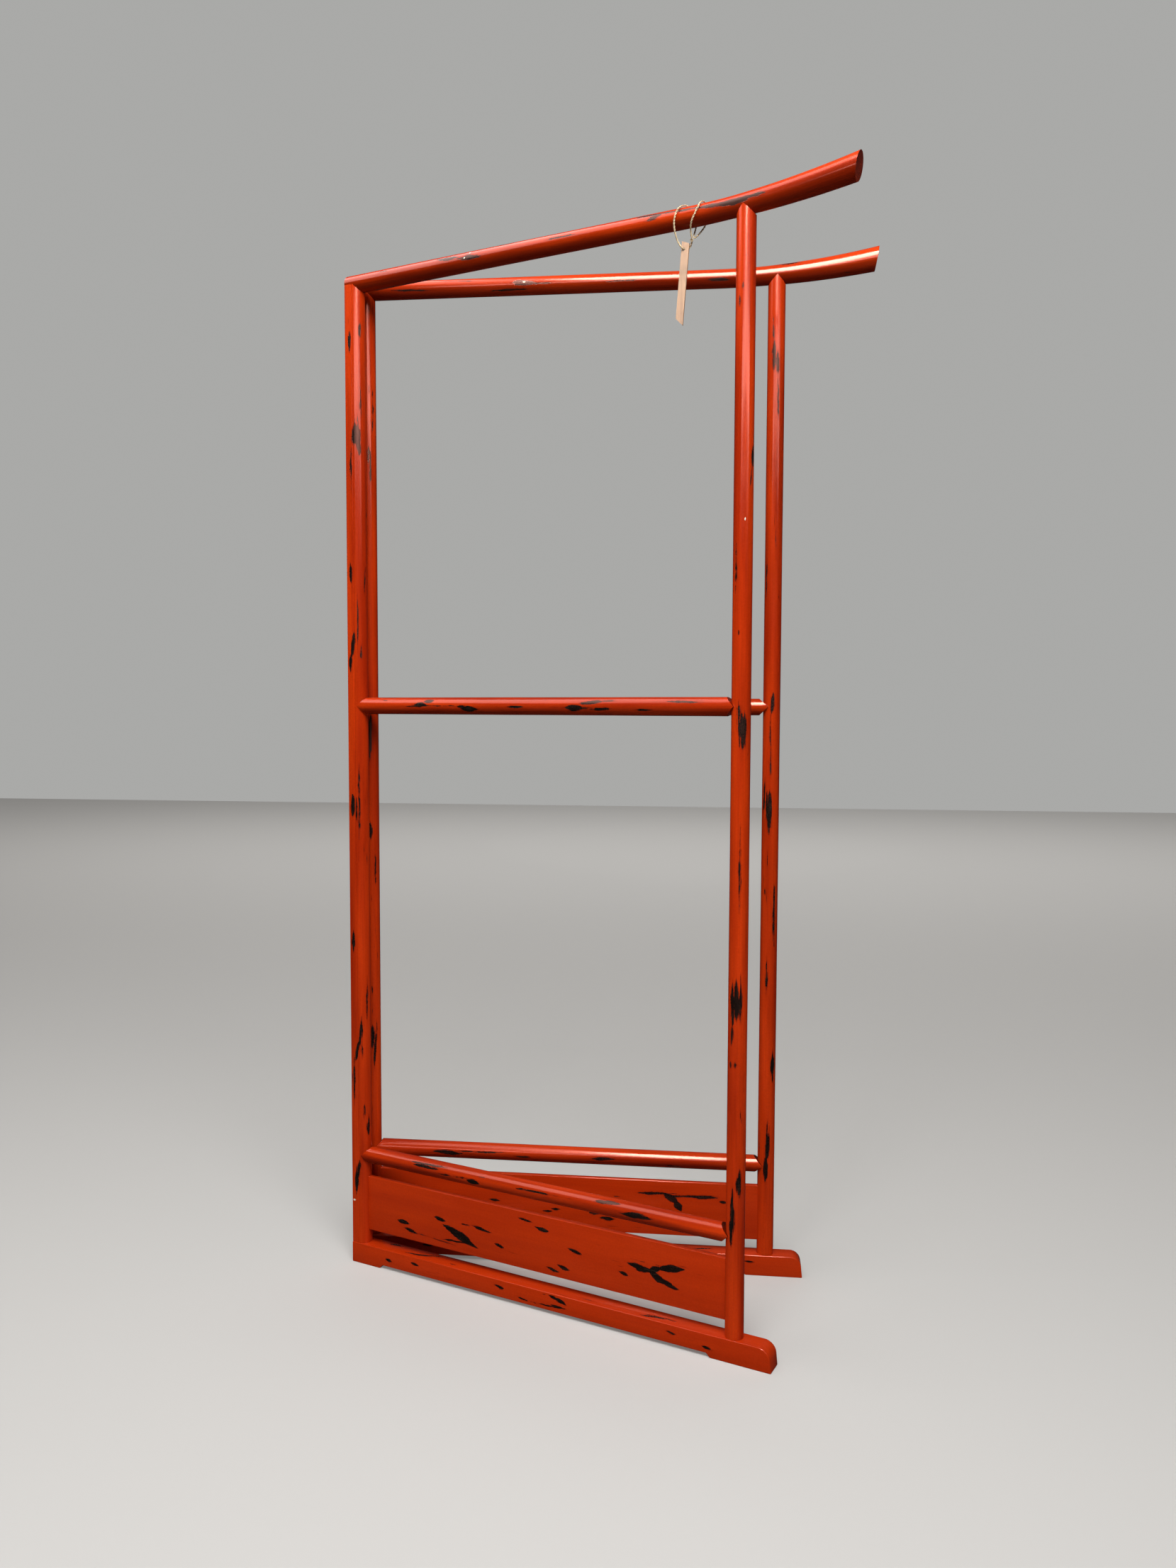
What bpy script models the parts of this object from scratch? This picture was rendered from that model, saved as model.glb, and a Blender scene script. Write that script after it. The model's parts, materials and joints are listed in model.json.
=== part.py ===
"""A folding garment rack: two lacquered wooden wings joined by three butt hinges.

Each wing is drawn in its own coordinates, with its hinge line at the origin: s runs
along the wing from the hinge line to the free end, n points away from the other wing,
and z is up from the floor. The rear wing lies along +X and its n is +Y. The front wing
is the rear one's mirror image, turned about the hinge line by the angle it stands open.
"""

from math import asin, cos, pi, radians, sin
from types import SimpleNamespace

import bmesh
import bpy
from mathutils import Matrix, Vector

MM = 0.001

# The wings
OPEN_ANGLE = radians(21.3)  # between the wings as the rack stands
POST_AXIS = 632 * MM  # hinge face to the outer post's axis
RAIL_HEIGHT = 1500 * MM  # floor to the top rail's axis
MIDDLE_HEIGHT = 870.5 * MM
LOWER_HEIGHT = 171 * MM
WING_OFFSET = 14.2 * MM  # hinge line to a wing's middle plane
GAP = 0.3 * MM  # between pieces that touch

# Posts and rails
POST_RADIUS = 12.7 * MM
CROSS_RADIUS = 12.6 * MM  # middle and lower rails
CROSS_START = 17 * MM  # the two points of a cross rail, from the hinge face
CROSS_END = 626 * MM
HINGE_POST_FLAT = 13.5 * MM  # the flat-sided part of a hinge post, to its round's axis
QUIRK = 0.5 * MM  # depth of the thin groove beside the round
TENON_RADIUS = 4.5 * MM
TENON_LENGTH = 7 * MM  # past the axis of the piece that it enters
TENON_ROOT = 17 * MM  # how deep a tenon is rooted in its own piece
FOOT_TENON_RADIUS = 6.5 * MM
FOOT_TENON_LENGTH = 14 * MM

# Top rail: straight, then a gentle arc that flares to an oblique tip
RAIL_HALF_HEIGHT = 13.3 * MM
RAIL_HALF_WIDTH = 12.6 * MM
TIP_HALF_HEIGHT = 17 * MM
TIP_HALF_WIDTH = 13.8 * MM
ARC_START = 545 * MM
ARC_RADIUS = 1300 * MM
FLARE_START = 610 * MM
RAIL_TIP = 775 * MM
TIP_LEAN = radians(9.5)  # the end cut leans out at the top
ARC_STEPS = 8

# Base runner
RUNNER_HEIGHT = 31.6 * MM
RUNNER_WIDTH = 27.7 * MM
RUNNER_LENGTH = 688.5 * MM
RUNNER_END_RISE = 15 * MM  # the end is upright to here, then rounds over
RUNNER_END_LEAN = 1.5 * MM
RUNNER_END_STEPS = 6
HINGE_FOOT = 53 * MM
OUTER_FOOT = 602.5 * MM
FOOT_RELIEF = 5.5 * MM
EDGE_BEVEL = 0.9 * MM

# Skirt board
BOARD_BOTTOM = 52.2 * MM
BOARD_TOP = 137.4 * MM
BOARD_THICKNESS = 8 * MM
BOARD_HOUSING = 5 * MM  # how far the board enters each post

# Butt hinges, let into the two end faces
HINGE_LEVELS = {"top": 1380 * MM, "middle": 780 * MM, "bottom": 245 * MM}
HINGE_HALF = 25 * MM
LEAF_THICKNESS = 1.2 * MM
LEAF_START = 1.4 * MM
LEAF_REACH = 24 * MM
KNUCKLE_RADIUS = 2.6 * MM
KNUCKLE_CLEARANCE = 0.45 * MM
KNUCKLE_GAP = 0.6 * MM  # between neighbouring knuckles
PIN_RADIUS = 1.2 * MM
PIN_CLEARANCE = 0.1 * MM
PIN_HEAD_RADIUS = 2.0 * MM
PIN_HEAD_HEIGHT = 1.2 * MM
PIN_CROWN_RADIUS = 1.2 * MM  # the flatter middle of a head
PIN_CROWN_DROP = 0.24 * MM
SCREW_SPACING = 15 * MM  # each screw from the middle of its leaf
SCREW_HEAD_RADIUS = 2.7 * MM
SCREW_RADIUS = 1.3 * MM
SCREW_LENGTH = 11 * MM
SLOT_WIDTH = 0.8 * MM
SLOT_DEPTH = 0.7 * MM

# Hang tag on a thin cord round the front top rail
TAG_WIDTH = 10.5 * MM
TAG_LENGTH = 106.5 * MM
TAG_THICKNESS = 2 * MM
TAG_LEAN = radians(4.7)
TAG_TOP_SLANT = 3.5 * MM
TAG_END_SLANT = 9 * MM
TAG_HOLE_RADIUS = 1.9 * MM
TAG_HOLE_DROP = 10.5 * MM
TAG_HOLE_INSET = 3.4 * MM
TAG_EYE = Vector((546.4 * MM, 0, 1461 * MM))
CORD_RADIUS = 1.2 * MM
CORD_POINTS = 76

# The cord's route: s, n from the wing's middle plane, and z, in millimetres
CORD_ROUTE = [
    (558.6, 3.0, 1471.8),
    (558.8, 7.0, 1478.6),
    (560.6, 11.8, 1484.6),
    (563.4, 15.0, 1490.0),
    (567.4, 15.6, 1497.0),
    (571.2, 13.9, 1505.6),
    (573.0, 7.8, 1513.2),
    (573.8, 0.4, 1515.7),
    (574.0, -7.1, 1514.1),
    (573.4, -12.8, 1508.7),
    (572.2, -14.9, 1500.5),
    (570.2, -14.0, 1492.1),
    (567.0, -10.2, 1484.6),
    (563.6, -5.4, 1477.8),
    (560.6, -2.8, 1474.4),
    (557.8, -5.2, 1477.6),
    (557.4, -10.0, 1484.8),
    (557.0, -14.0, 1492.1),
    (555.6, -14.9, 1500.5),
    (553.6, -12.8, 1508.6),
    (551.4, -7.1, 1513.9),
    (549.4, 0.0, 1515.4),
    (546.2, 7.3, 1513.2),
    (542.8, 12.7, 1508.0),
    (540.2, 15.2, 1500.0),
    (538.8, 15.2, 1490.4),
    (539.1, 12.8, 1480.2),
    (540.6, 9.0, 1471.4),
    (543.4, 5.6, 1464.6),
    (545.9, 2.6, 1461.4),
    (546.4, 0.0, 1461.0),
    (547.0, -2.6, 1461.2),
    (550.4, -4.2, 1462.6),
    (554.4, -3.4, 1465.6),
    (556.6, -1.6, 1469.4),
]

ROUND_SIDES = 24
SMALL_SIDES = 12
SMOOTH_ANGLE = radians(35)

LACQUER = (0.42, 0.035, 0.014, 1)
BRASS = (0.42, 0.27, 0.10, 1)
STEEL = (0.30, 0.28, 0.25, 1)
BAMBOO = (0.45, 0.28, 0.13, 1)
TWINE = (0.52, 0.40, 0.24, 1)


# Objects, collections and materials


def clear_scene():
    for item in list(bpy.data.objects):
        bpy.data.objects.remove(item)


def new_collection(name):
    collection = bpy.data.collections.new(name)
    bpy.context.scene.collection.children.link(collection)
    return collection


def principled(name, colour, roughness, metallic=0.0):
    material = bpy.data.materials.new(name)
    material.use_nodes = True
    shader = material.node_tree.nodes["Principled BSDF"]
    shader.inputs["Base Color"].default_value = colour
    shader.inputs["Roughness"].default_value = roughness
    shader.inputs["Metallic"].default_value = metallic
    return material


def add_object(name, mesh, parent, material):
    """A visible piece, one of the rack's nodes."""
    piece = bpy.data.objects.new(name, mesh)
    parts.objects.link(piece)
    piece.parent = parent
    if not mesh.materials:
        mesh.materials.append(material)
    return piece


def add_helper(name, mesh, parent):
    """A shape that only cuts or joins the pieces."""
    helper = bpy.data.objects.new(name, mesh)
    cutters.objects.link(helper)
    helper.parent = parent
    helper.hide_render = True
    helper.display_type = "WIRE"
    return helper


def finish_mesh(name, shape, smooth=True):
    bmesh.ops.recalc_face_normals(shape, faces=shape.faces)
    mesh = bpy.data.meshes.new(name)
    shape.to_mesh(mesh)
    shape.free()
    if smooth:
        mesh.shade_smooth()
        mesh.set_sharp_from_angle(angle=SMOOTH_ANGLE)
    return mesh


def boolean(piece, helper, operation):
    modifier = piece.modifiers.new(f"{operation.lower()} {helper.name}", "BOOLEAN")
    modifier.operation = operation
    modifier.object = helper
    modifier.solver = "EXACT"


def cut(piece, helper):
    boolean(piece, helper, "DIFFERENCE")


def join(piece, helper):
    boolean(piece, helper, "UNION")


def bevel_edges(piece, width):
    modifier = piece.modifiers.new("eased edges", "BEVEL")
    modifier.width = width
    modifier.segments = 1
    modifier.limit_method = "ANGLE"
    modifier.angle_limit = SMOOTH_ANGLE


# Shapes


def wing_point(wing, s, n, z):
    """A point of a wing. n is measured from the hinge line, away from the other wing."""
    return Vector((s, wing.side * n, z))


def middle(wing, s, z):
    """A point on a wing's middle plane."""
    return wing_point(wing, s, WING_OFFSET, z)


def cylinder(start, end, radius, sides=ROUND_SIDES):
    """A cylinder with a facet, not a corner, facing sideways, where the mitres' edges end."""
    shape = bmesh.new()
    axis = end - start
    roll = Matrix.Rotation(pi / sides, 4, "Z")
    turn = axis.to_track_quat("Z", "X").to_matrix().to_4x4() @ roll
    bmesh.ops.create_cone(
        shape,
        cap_ends=True,
        segments=sides,
        radius1=radius,
        radius2=radius,
        depth=axis.length,
        matrix=Matrix.Translation((start + end) / 2) @ turn,
    )
    return shape


def box(low, high):
    """A box between any two opposite corners."""
    shape = bmesh.new()
    size = Vector([abs(b - a) for a, b in zip(low, high)])
    place = Matrix.Translation((low + high) / 2) @ Matrix.Diagonal(size).to_4x4()
    bmesh.ops.create_cube(shape, size=1, matrix=place)
    return shape


def trim(shape, point, outward):
    """Cut away what lies beyond a plane, and close the cut."""
    everything = shape.verts[:] + shape.edges[:] + shape.faces[:]
    result = bmesh.ops.bisect_plane(
        shape, geom=everything, plane_co=point, plane_no=outward, clear_outer=True
    )
    rim = [e for e in result["geom_cut"] if isinstance(e, bmesh.types.BMEdge)]
    bmesh.ops.edgeloop_fill(shape, edges=rim)


def point_end(shape, tip, along, across, grow=0.0):
    """Sharpen a round end to a wedge whose edge runs through tip: two mitres at 45 degrees."""
    for sign in (1, -1):
        outward = (along + sign * across).normalized()
        trim(shape, tip + outward * grow, outward)


def extruded(outline, n_low, n_high, wing):
    """A flat outline of (s, z) points, drawn between two distances from the hinge line."""
    shape = bmesh.new()
    corners = [shape.verts.new(wing_point(wing, s, n_low, z)) for s, z in outline]
    face = shape.faces.new(corners)
    moved = bmesh.ops.extrude_face_region(shape, geom=[face])["geom"]
    verts = [v for v in moved if isinstance(v, bmesh.types.BMVert)]
    shift = Vector((0, wing.side * (n_high - n_low), 0))
    bmesh.ops.translate(shape, verts=verts, vec=shift)
    return shape


def arc(centre, radius, start, end, steps):
    """Points of a flat arc, both ends included."""
    angles = [start + (end - start) * i / steps for i in range(steps + 1)]
    return [(centre[0] + radius * cos(a), centre[1] + radius * sin(a)) for a in angles]


def turned(name, profile, steps):
    """A mesh turned about Z from a profile of (radius, height) points, top to bottom."""
    mesh = bpy.data.meshes.new(name)
    verts = [(radius, 0, height) for radius, height in profile]
    edges = [(i, i + 1) for i in range(len(verts) - 1)]
    mesh.from_pydata(verts, edges, [])
    helper = add_helper(name, mesh, None)
    screw = helper.modifiers.new("turn", "SCREW")
    screw.steps = steps
    screw.render_steps = steps
    screw.use_merge_vertices = True
    screw.merge_threshold = 0.01 * MM
    return helper


def evaluated_mesh(item):
    """The item's mesh with its modifiers applied."""
    bpy.context.view_layer.update()
    ready = item.evaluated_get(bpy.context.evaluated_depsgraph_get())
    mesh = bpy.data.meshes.new_from_object(ready)
    mesh.name = item.name
    return mesh


# Wooden pieces, each made for one wing


def add_tenon(piece, wing, start, end, radius):
    """A round tenon on a piece, rooted well inside it."""
    name = f"{piece.name}_tenon"
    mesh = finish_mesh(name, cylinder(start, end, radius, SMALL_SIDES))
    join(piece, add_helper(name, mesh, wing.empty))


def cut_mortise(piece, wing, start, end, radius):
    """The hole for a round tenon."""
    name = f"{piece.name}_mortise"
    mesh = finish_mesh(name, cylinder(start, end, radius + GAP, SMALL_SIDES))
    cut(piece, add_helper(name, mesh, wing.empty))


def cross_rail_shape(wing, height, grow):
    """A round rail with a pointed mitre let into both posts, or its larger cutter."""
    along = Vector((1, 0, 0))
    up = Vector((0, 0, 1))
    left = middle(wing, CROSS_START, height)
    right = middle(wing, CROSS_END, height)
    spare = 2 * POST_RADIUS * along
    shape = cylinder(left - spare, right + spare, CROSS_RADIUS + grow)
    point_end(shape, left, -along, up, grow)
    point_end(shape, right, along, up, grow)
    return shape


def cross_rail(wing, name, height):
    mesh = finish_mesh(f"{wing.name}_{name}", cross_rail_shape(wing, height, 0))
    piece = add_object(f"{wing.name}_{name}", mesh, wing.empty, lacquer)
    for s, outward in ((HINGE_POST_FLAT, -1), (POST_AXIS, 1)):
        root = middle(wing, s - outward * TENON_ROOT, height)
        end = middle(wing, s + outward * TENON_LENGTH, height)
        add_tenon(piece, wing, root, end, TENON_RADIUS)
    return piece


def house_cross_rail(post, wing, height, s, outward):
    """Cut a post's pointed notch and mortise for one rail."""
    name = f"{post.name}_notch"
    mesh = finish_mesh(name, cross_rail_shape(wing, height, GAP))
    cut(post, add_helper(name, mesh, wing.empty))
    root = middle(wing, s - outward * TENON_ROOT, height)
    end = middle(wing, s + outward * (TENON_LENGTH + GAP), height)
    cut_mortise(post, wing, root, end, TENON_RADIUS)


def house_board(post, wing, s_low, s_high):
    """Cut the groove that holds one end of the skirt board."""
    half = BOARD_THICKNESS / 2 + GAP
    low = wing_point(wing, s_low, WING_OFFSET - half, BOARD_BOTTOM - GAP)
    high = wing_point(wing, s_high, WING_OFFSET + half, BOARD_TOP + GAP)
    name = f"{post.name}_groove"
    mesh = finish_mesh(name, box(low, high), smooth=False)
    cut(post, add_helper(name, mesh, wing.empty))


def add_foot_tenon(post, wing, s):
    root = middle(wing, s, RUNNER_HEIGHT + TENON_ROOT)
    end = middle(wing, s, RUNNER_HEIGHT - FOOT_TENON_LENGTH)
    add_tenon(post, wing, root, end, FOOT_TENON_RADIUS)


def rail_axis_height(s):
    """Height of the top rail's axis: level, then rising on a large arc."""
    if s <= ARC_START:
        return RAIL_HEIGHT
    lean = asin((s - ARC_START) / ARC_RADIUS)
    return RAIL_HEIGHT + ARC_RADIUS * (1 - cos(lean))


def outer_post_shape(wing, grow):
    """The round outer post, pointed where it meets the top rail, or its larger cutter."""
    up = Vector((0, 0, 1))
    along = Vector((1, 0, 0))
    tip = middle(wing, POST_AXIS, RAIL_HEIGHT)
    foot = middle(wing, POST_AXIS, RUNNER_HEIGHT + GAP)
    shape = cylinder(foot, tip + 2 * POST_RADIUS * up, POST_RADIUS + grow)
    point_end(shape, tip, up, along, grow)
    return shape


def outer_post(wing):
    mesh = finish_mesh(f"{wing.name}_outer_post", outer_post_shape(wing, 0))
    post = add_object(f"{wing.name}_outer_post", mesh, wing.empty, lacquer)
    for height in (MIDDLE_HEIGHT, LOWER_HEIGHT):
        house_cross_rail(post, wing, height, POST_AXIS, 1)
    inner_face = POST_AXIS - POST_RADIUS
    house_board(post, wing, inner_face - GAP, inner_face + BOARD_HOUSING + GAP)
    add_foot_tenon(post, wing, POST_AXIS)
    root = middle(wing, POST_AXIS, RAIL_HEIGHT - TENON_ROOT)
    end = middle(wing, POST_AXIS, RAIL_HEIGHT + TENON_LENGTH)
    add_tenon(post, wing, root, end, TENON_RADIUS)
    return post


def hinge_post_shape(wing):
    """A bar with one round edge: flat end face, flat sides, a thin groove, then a half round."""
    half = POST_RADIUS
    groove = HINGE_POST_FLAT - 2 * QUIRK
    outline = [(GAP, -half), (groove, -half), (groove + QUIRK, QUIRK - half)]
    outline += arc((HINGE_POST_FLAT, 0), half, -pi / 2, pi / 2, ROUND_SIDES // 2)
    outline += [(groove + QUIRK, half - QUIRK), (groove, half), (GAP, half)]
    shape = bmesh.new()
    bottom = RUNNER_HEIGHT + GAP
    corners = [
        shape.verts.new(wing_point(wing, s, WING_OFFSET + across, bottom))
        for s, across in outline
    ]
    face = shape.faces.new(corners)
    moved = bmesh.ops.extrude_face_region(shape, geom=[face])["geom"]
    verts = [v for v in moved if isinstance(v, bmesh.types.BMVert)]
    bmesh.ops.translate(shape, verts=verts, vec=(0, 0, RAIL_HEIGHT - bottom))
    return shape


def hinge_post(wing):
    mesh = finish_mesh(f"{wing.name}_hinge_post", hinge_post_shape(wing))
    post = add_object(f"{wing.name}_hinge_post", mesh, wing.empty, lacquer)
    saddle_name = f"{post.name}_saddle"
    saddle = finish_mesh(saddle_name, top_rail_shape(wing, GAP))
    cut(post, add_helper(saddle_name, saddle, wing.empty))
    for height in (MIDDLE_HEIGHT, LOWER_HEIGHT):
        house_cross_rail(post, wing, height, HINGE_POST_FLAT, -1)
    inner_face = HINGE_POST_FLAT + POST_RADIUS
    house_board(post, wing, inner_face - BOARD_HOUSING - GAP, inner_face + GAP)
    for level in HINGE_LEVELS.values():
        house_hinge(post, wing, level)
    add_foot_tenon(post, wing, HINGE_POST_FLAT)
    root = middle(wing, HINGE_POST_FLAT, RAIL_HEIGHT - RAIL_HALF_HEIGHT - TENON_ROOT)
    end = middle(wing, HINGE_POST_FLAT, RAIL_HEIGHT + TENON_LENGTH)
    add_tenon(post, wing, root, end, TENON_RADIUS)
    return post


def top_rail_shape(wing, grow):
    """Oval rings along the rail's axis, joined into one closed rail, or its larger cutter."""
    stations = [GAP - grow, ARC_START / 2, ARC_START]
    overrun = RAIL_TIP + TIP_HALF_HEIGHT
    step = (overrun - ARC_START) / ARC_STEPS
    stations += [ARC_START + step * (i + 1) for i in range(ARC_STEPS)]
    shape = bmesh.new()
    rings = []
    for s in stations:
        lean = asin(max(0.0, s - ARC_START) / ARC_RADIUS)
        flare = max(0.0, s - FLARE_START) / (RAIL_TIP - FLARE_START)
        tall = RAIL_HALF_HEIGHT + flare * (TIP_HALF_HEIGHT - RAIL_HALF_HEIGHT) + grow
        wide = RAIL_HALF_WIDTH + flare * (TIP_HALF_WIDTH - RAIL_HALF_WIDTH) + grow
        ring = []
        for i in range(ROUND_SIDES):
            angle = 2 * pi * i / ROUND_SIDES
            up = tall * sin(angle)
            z = rail_axis_height(s) + up * cos(lean)
            point = wing_point(wing, s - up * sin(lean), WING_OFFSET + wide * cos(angle), z)
            ring.append(shape.verts.new(point))
        rings.append(ring)
    for ring, following in zip(rings, rings[1:]):
        for i in range(ROUND_SIDES):
            j = (i + 1) % ROUND_SIDES
            shape.faces.new((ring[i], ring[j], following[j], following[i]))
    shape.faces.new(rings[0])
    shape.faces.new(rings[-1])
    tip = middle(wing, RAIL_TIP, rail_axis_height(RAIL_TIP))
    trim(shape, tip, Vector((cos(TIP_LEAN), 0, -sin(TIP_LEAN))))
    return shape


def top_rail(wing):
    mesh = finish_mesh(f"{wing.name}_top_rail", top_rail_shape(wing, 0))
    rail = add_object(f"{wing.name}_top_rail", mesh, wing.empty, lacquer)
    notch_name = f"{rail.name}_notch"
    notch = finish_mesh(notch_name, outer_post_shape(wing, GAP))
    cut(rail, add_helper(notch_name, notch, wing.empty))
    for s in (HINGE_POST_FLAT, POST_AXIS):
        root = middle(wing, s, RAIL_HEIGHT - TENON_ROOT)
        end = middle(wing, s, RAIL_HEIGHT + TENON_LENGTH + GAP)
        cut_mortise(rail, wing, root, end, TENON_RADIUS)
    return rail


def skirt_board(wing):
    """A thin board between the posts, its ends housed in their grooves."""
    half = BOARD_THICKNESS / 2
    s_low = HINGE_POST_FLAT + POST_RADIUS - BOARD_HOUSING
    s_high = POST_AXIS - POST_RADIUS + BOARD_HOUSING
    low = wing_point(wing, s_low, WING_OFFSET - half, BOARD_BOTTOM)
    high = wing_point(wing, s_high, WING_OFFSET + half, BOARD_TOP)
    mesh = finish_mesh(f"{wing.name}_skirt_board", box(low, high), smooth=False)
    board = add_object(f"{wing.name}_skirt_board", mesh, wing.empty, lacquer)
    bevel_edges(board, EDGE_BEVEL)
    return board


def base_runner(wing):
    """The bar that both posts stand on: two feet below, and a rounded outer end."""
    radius = RUNNER_HEIGHT - RUNNER_END_RISE
    shoulder = RUNNER_LENGTH - RUNNER_END_LEAN
    relief = OUTER_FOOT - FOOT_RELIEF
    outline = [(GAP, 0), (HINGE_FOOT, 0), (HINGE_FOOT + FOOT_RELIEF, FOOT_RELIEF)]
    outline += [(relief, FOOT_RELIEF), (OUTER_FOOT, 0), (RUNNER_LENGTH, 0)]
    centre = (shoulder - radius, RUNNER_END_RISE)
    outline += arc(centre, radius, 0, pi / 2, RUNNER_END_STEPS)
    outline += [(GAP, RUNNER_HEIGHT)]
    half = RUNNER_WIDTH / 2
    shape = extruded(outline, WING_OFFSET - half, WING_OFFSET + half, wing)
    mesh = finish_mesh(f"{wing.name}_base_runner", shape)
    runner = add_object(f"{wing.name}_base_runner", mesh, wing.empty, lacquer)
    bevel_edges(runner, EDGE_BEVEL)
    for s in (HINGE_POST_FLAT, POST_AXIS):
        mouth = middle(wing, s, RUNNER_HEIGHT + FOOT_TENON_LENGTH)
        end = middle(wing, s, RUNNER_HEIGHT - FOOT_TENON_LENGTH - GAP)
        cut_mortise(runner, wing, mouth, end, FOOT_TENON_RADIUS)
    return runner


# Hinges and screws


def screw_heights(level):
    return {"upper": level + SCREW_SPACING, "lower": level - SCREW_SPACING}


def house_hinge(post, wing, level):
    """Cut a hinge's shallow recess, the room for its barrel, and the two screw holes."""
    face = GAP + LEAF_THICKNESS + GAP
    low = wing_point(wing, -face, 0, level - HINGE_HALF - GAP)
    high = wing_point(wing, face, LEAF_REACH + GAP, level + HINGE_HALF + GAP)
    recess = finish_mesh(f"{post.name}_recess", box(low, high), smooth=False)
    cut(post, add_helper(recess.name, recess, wing.empty))
    reach = HINGE_HALF + PIN_HEAD_HEIGHT + 3 * GAP
    ends = [wing_point(wing, 0, 0, level - reach), wing_point(wing, 0, 0, level + reach)]
    room = cylinder(*ends, KNUCKLE_RADIUS + 2 * GAP, SMALL_SIDES)
    room_mesh = finish_mesh(f"{post.name}_barrel_room", room)
    cut(post, add_helper(room_mesh.name, room_mesh, wing.empty))
    for height in screw_heights(level).values():
        mouth = middle(wing, -face, height)
        end = middle(wing, GAP + SCREW_LENGTH + GAP, height)
        cut_mortise(post, wing, mouth, end, SCREW_RADIUS)


def knuckle_spans(level):
    """Three knuckles: the rear leaf holds the outer two and the front leaf the middle one."""
    third = 2 * HINGE_HALF / 3
    half_gap = KNUCKLE_GAP / 2
    edges = [level - HINGE_HALF + third * i for i in range(4)]
    rear = [(edges[0], edges[1] - half_gap), (edges[2] + half_gap, edges[3])]
    front = [(edges[1] + half_gap, edges[2] - half_gap)]
    return {"rear": rear, "front": front}


def barrel(low, high, radius):
    return cylinder(Vector((0, 0, low)), Vector((0, 0, high)), radius, SMALL_SIDES)


def hinge_leaf(wing, level_name, level):
    """A flat leaf with its knuckles round the hinge line and two countersunk holes."""
    name = f"hinge_leaf_{wing.name}_{level_name}"
    half = HINGE_HALF - GAP
    low = wing_point(wing, GAP, LEAF_START, level - half)
    high = wing_point(wing, GAP + LEAF_THICKNESS, LEAF_REACH, level + half)
    leaf = add_object(name, finish_mesh(name, box(low, high), False), wing.empty, brass)
    spans = knuckle_spans(level)
    for bottom, top in spans[wing.name]:
        knuckle = finish_mesh(f"{name}_knuckle", barrel(bottom, top, KNUCKLE_RADIUS))
        join(leaf, add_helper(knuckle.name, knuckle, wing.empty))
    other = "front" if wing.name == "rear" else "rear"
    for bottom, top in spans[other]:
        spare = KNUCKLE_GAP / 2
        room = barrel(bottom - spare, top + spare, KNUCKLE_RADIUS + KNUCKLE_CLEARANCE)
        room_mesh = finish_mesh(f"{name}_room", room)
        cut(leaf, add_helper(room_mesh.name, room_mesh, wing.empty))
    reach = HINGE_HALF + KNUCKLE_RADIUS
    bore = barrel(level - reach, level + reach, PIN_RADIUS + PIN_CLEARANCE)
    bore_mesh = finish_mesh(f"{name}_bore", bore)
    cut(leaf, add_helper(bore_mesh.name, bore_mesh, wing.empty))
    for height in screw_heights(level).values():
        sink = turned(f"{name}_sink", countersink_profile(), SMALL_SIDES)
        sink.parent = wing.empty
        sink.location = middle(wing, GAP, height)
        sink.rotation_euler = (0, -pi / 2, 0)
        cut(leaf, sink)
    return leaf


def countersink_profile():
    """A 45 degree cone and a shank, with room round the screw, open on both sides of the leaf."""
    head = SCREW_HEAD_RADIUS + GAP
    shank = SCREW_RADIUS + GAP
    drop = head - shank
    above = 2 * GAP
    return [(0, above), (head + above, above), (shank, -drop), (shank, -2 * drop), (0, -2 * drop)]


def hinge_pin(level_name, level):
    """A plain pin with a low domed head at each end."""
    end = HINGE_HALF + GAP
    top = end + PIN_HEAD_HEIGHT
    half = [(0, top), (PIN_CROWN_RADIUS, top - PIN_CROWN_DROP)]
    half += [(PIN_HEAD_RADIUS, end), (PIN_RADIUS, end)]
    profile = half + [(radius, -height) for radius, height in reversed(half)]
    blank = turned("pin_blank", profile, SMALL_SIDES)
    mesh = evaluated_mesh(blank)
    bpy.data.objects.remove(blank)
    mesh.shade_smooth()
    mesh.set_sharp_from_angle(angle=SMOOTH_ANGLE)
    pin = add_object(f"hinge_pin_{level_name}", mesh, rear.empty, brass)
    pin.location = (0, 0, level)
    return pin


def screw_mesh():
    """A countersunk wood screw with a straight slot, its face at the origin."""
    neck = SCREW_HEAD_RADIUS - SCREW_RADIUS
    taper = 2 * SCREW_RADIUS
    profile = [(0, 0), (SCREW_HEAD_RADIUS, 0), (SCREW_RADIUS, -neck)]
    profile += [(SCREW_RADIUS, taper - SCREW_LENGTH), (0, -SCREW_LENGTH)]
    blank = turned("screw_blank", profile, SMALL_SIDES)
    reach = 2 * SCREW_HEAD_RADIUS
    low = Vector((-reach, -SLOT_WIDTH / 2, -SLOT_DEPTH))
    high = Vector((reach, SLOT_WIDTH / 2, SLOT_DEPTH))
    slot = add_helper("screw_slot", finish_mesh("screw_slot", box(low, high), False), None)
    cut(blank, slot)
    mesh = evaluated_mesh(blank)
    bpy.data.objects.remove(blank)
    bpy.data.objects.remove(slot)
    return mesh


def leaf_screws(wing, level_name, level, mesh):
    for place, height in screw_heights(level).items():
        name = f"screw_{wing.name}_{level_name}_{place}"
        screw = add_object(name, mesh, wing.empty, steel)
        screw.location = middle(wing, GAP, height)
        screw.rotation_euler = (0, -pi / 2, 0)


# Hang tag


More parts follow.
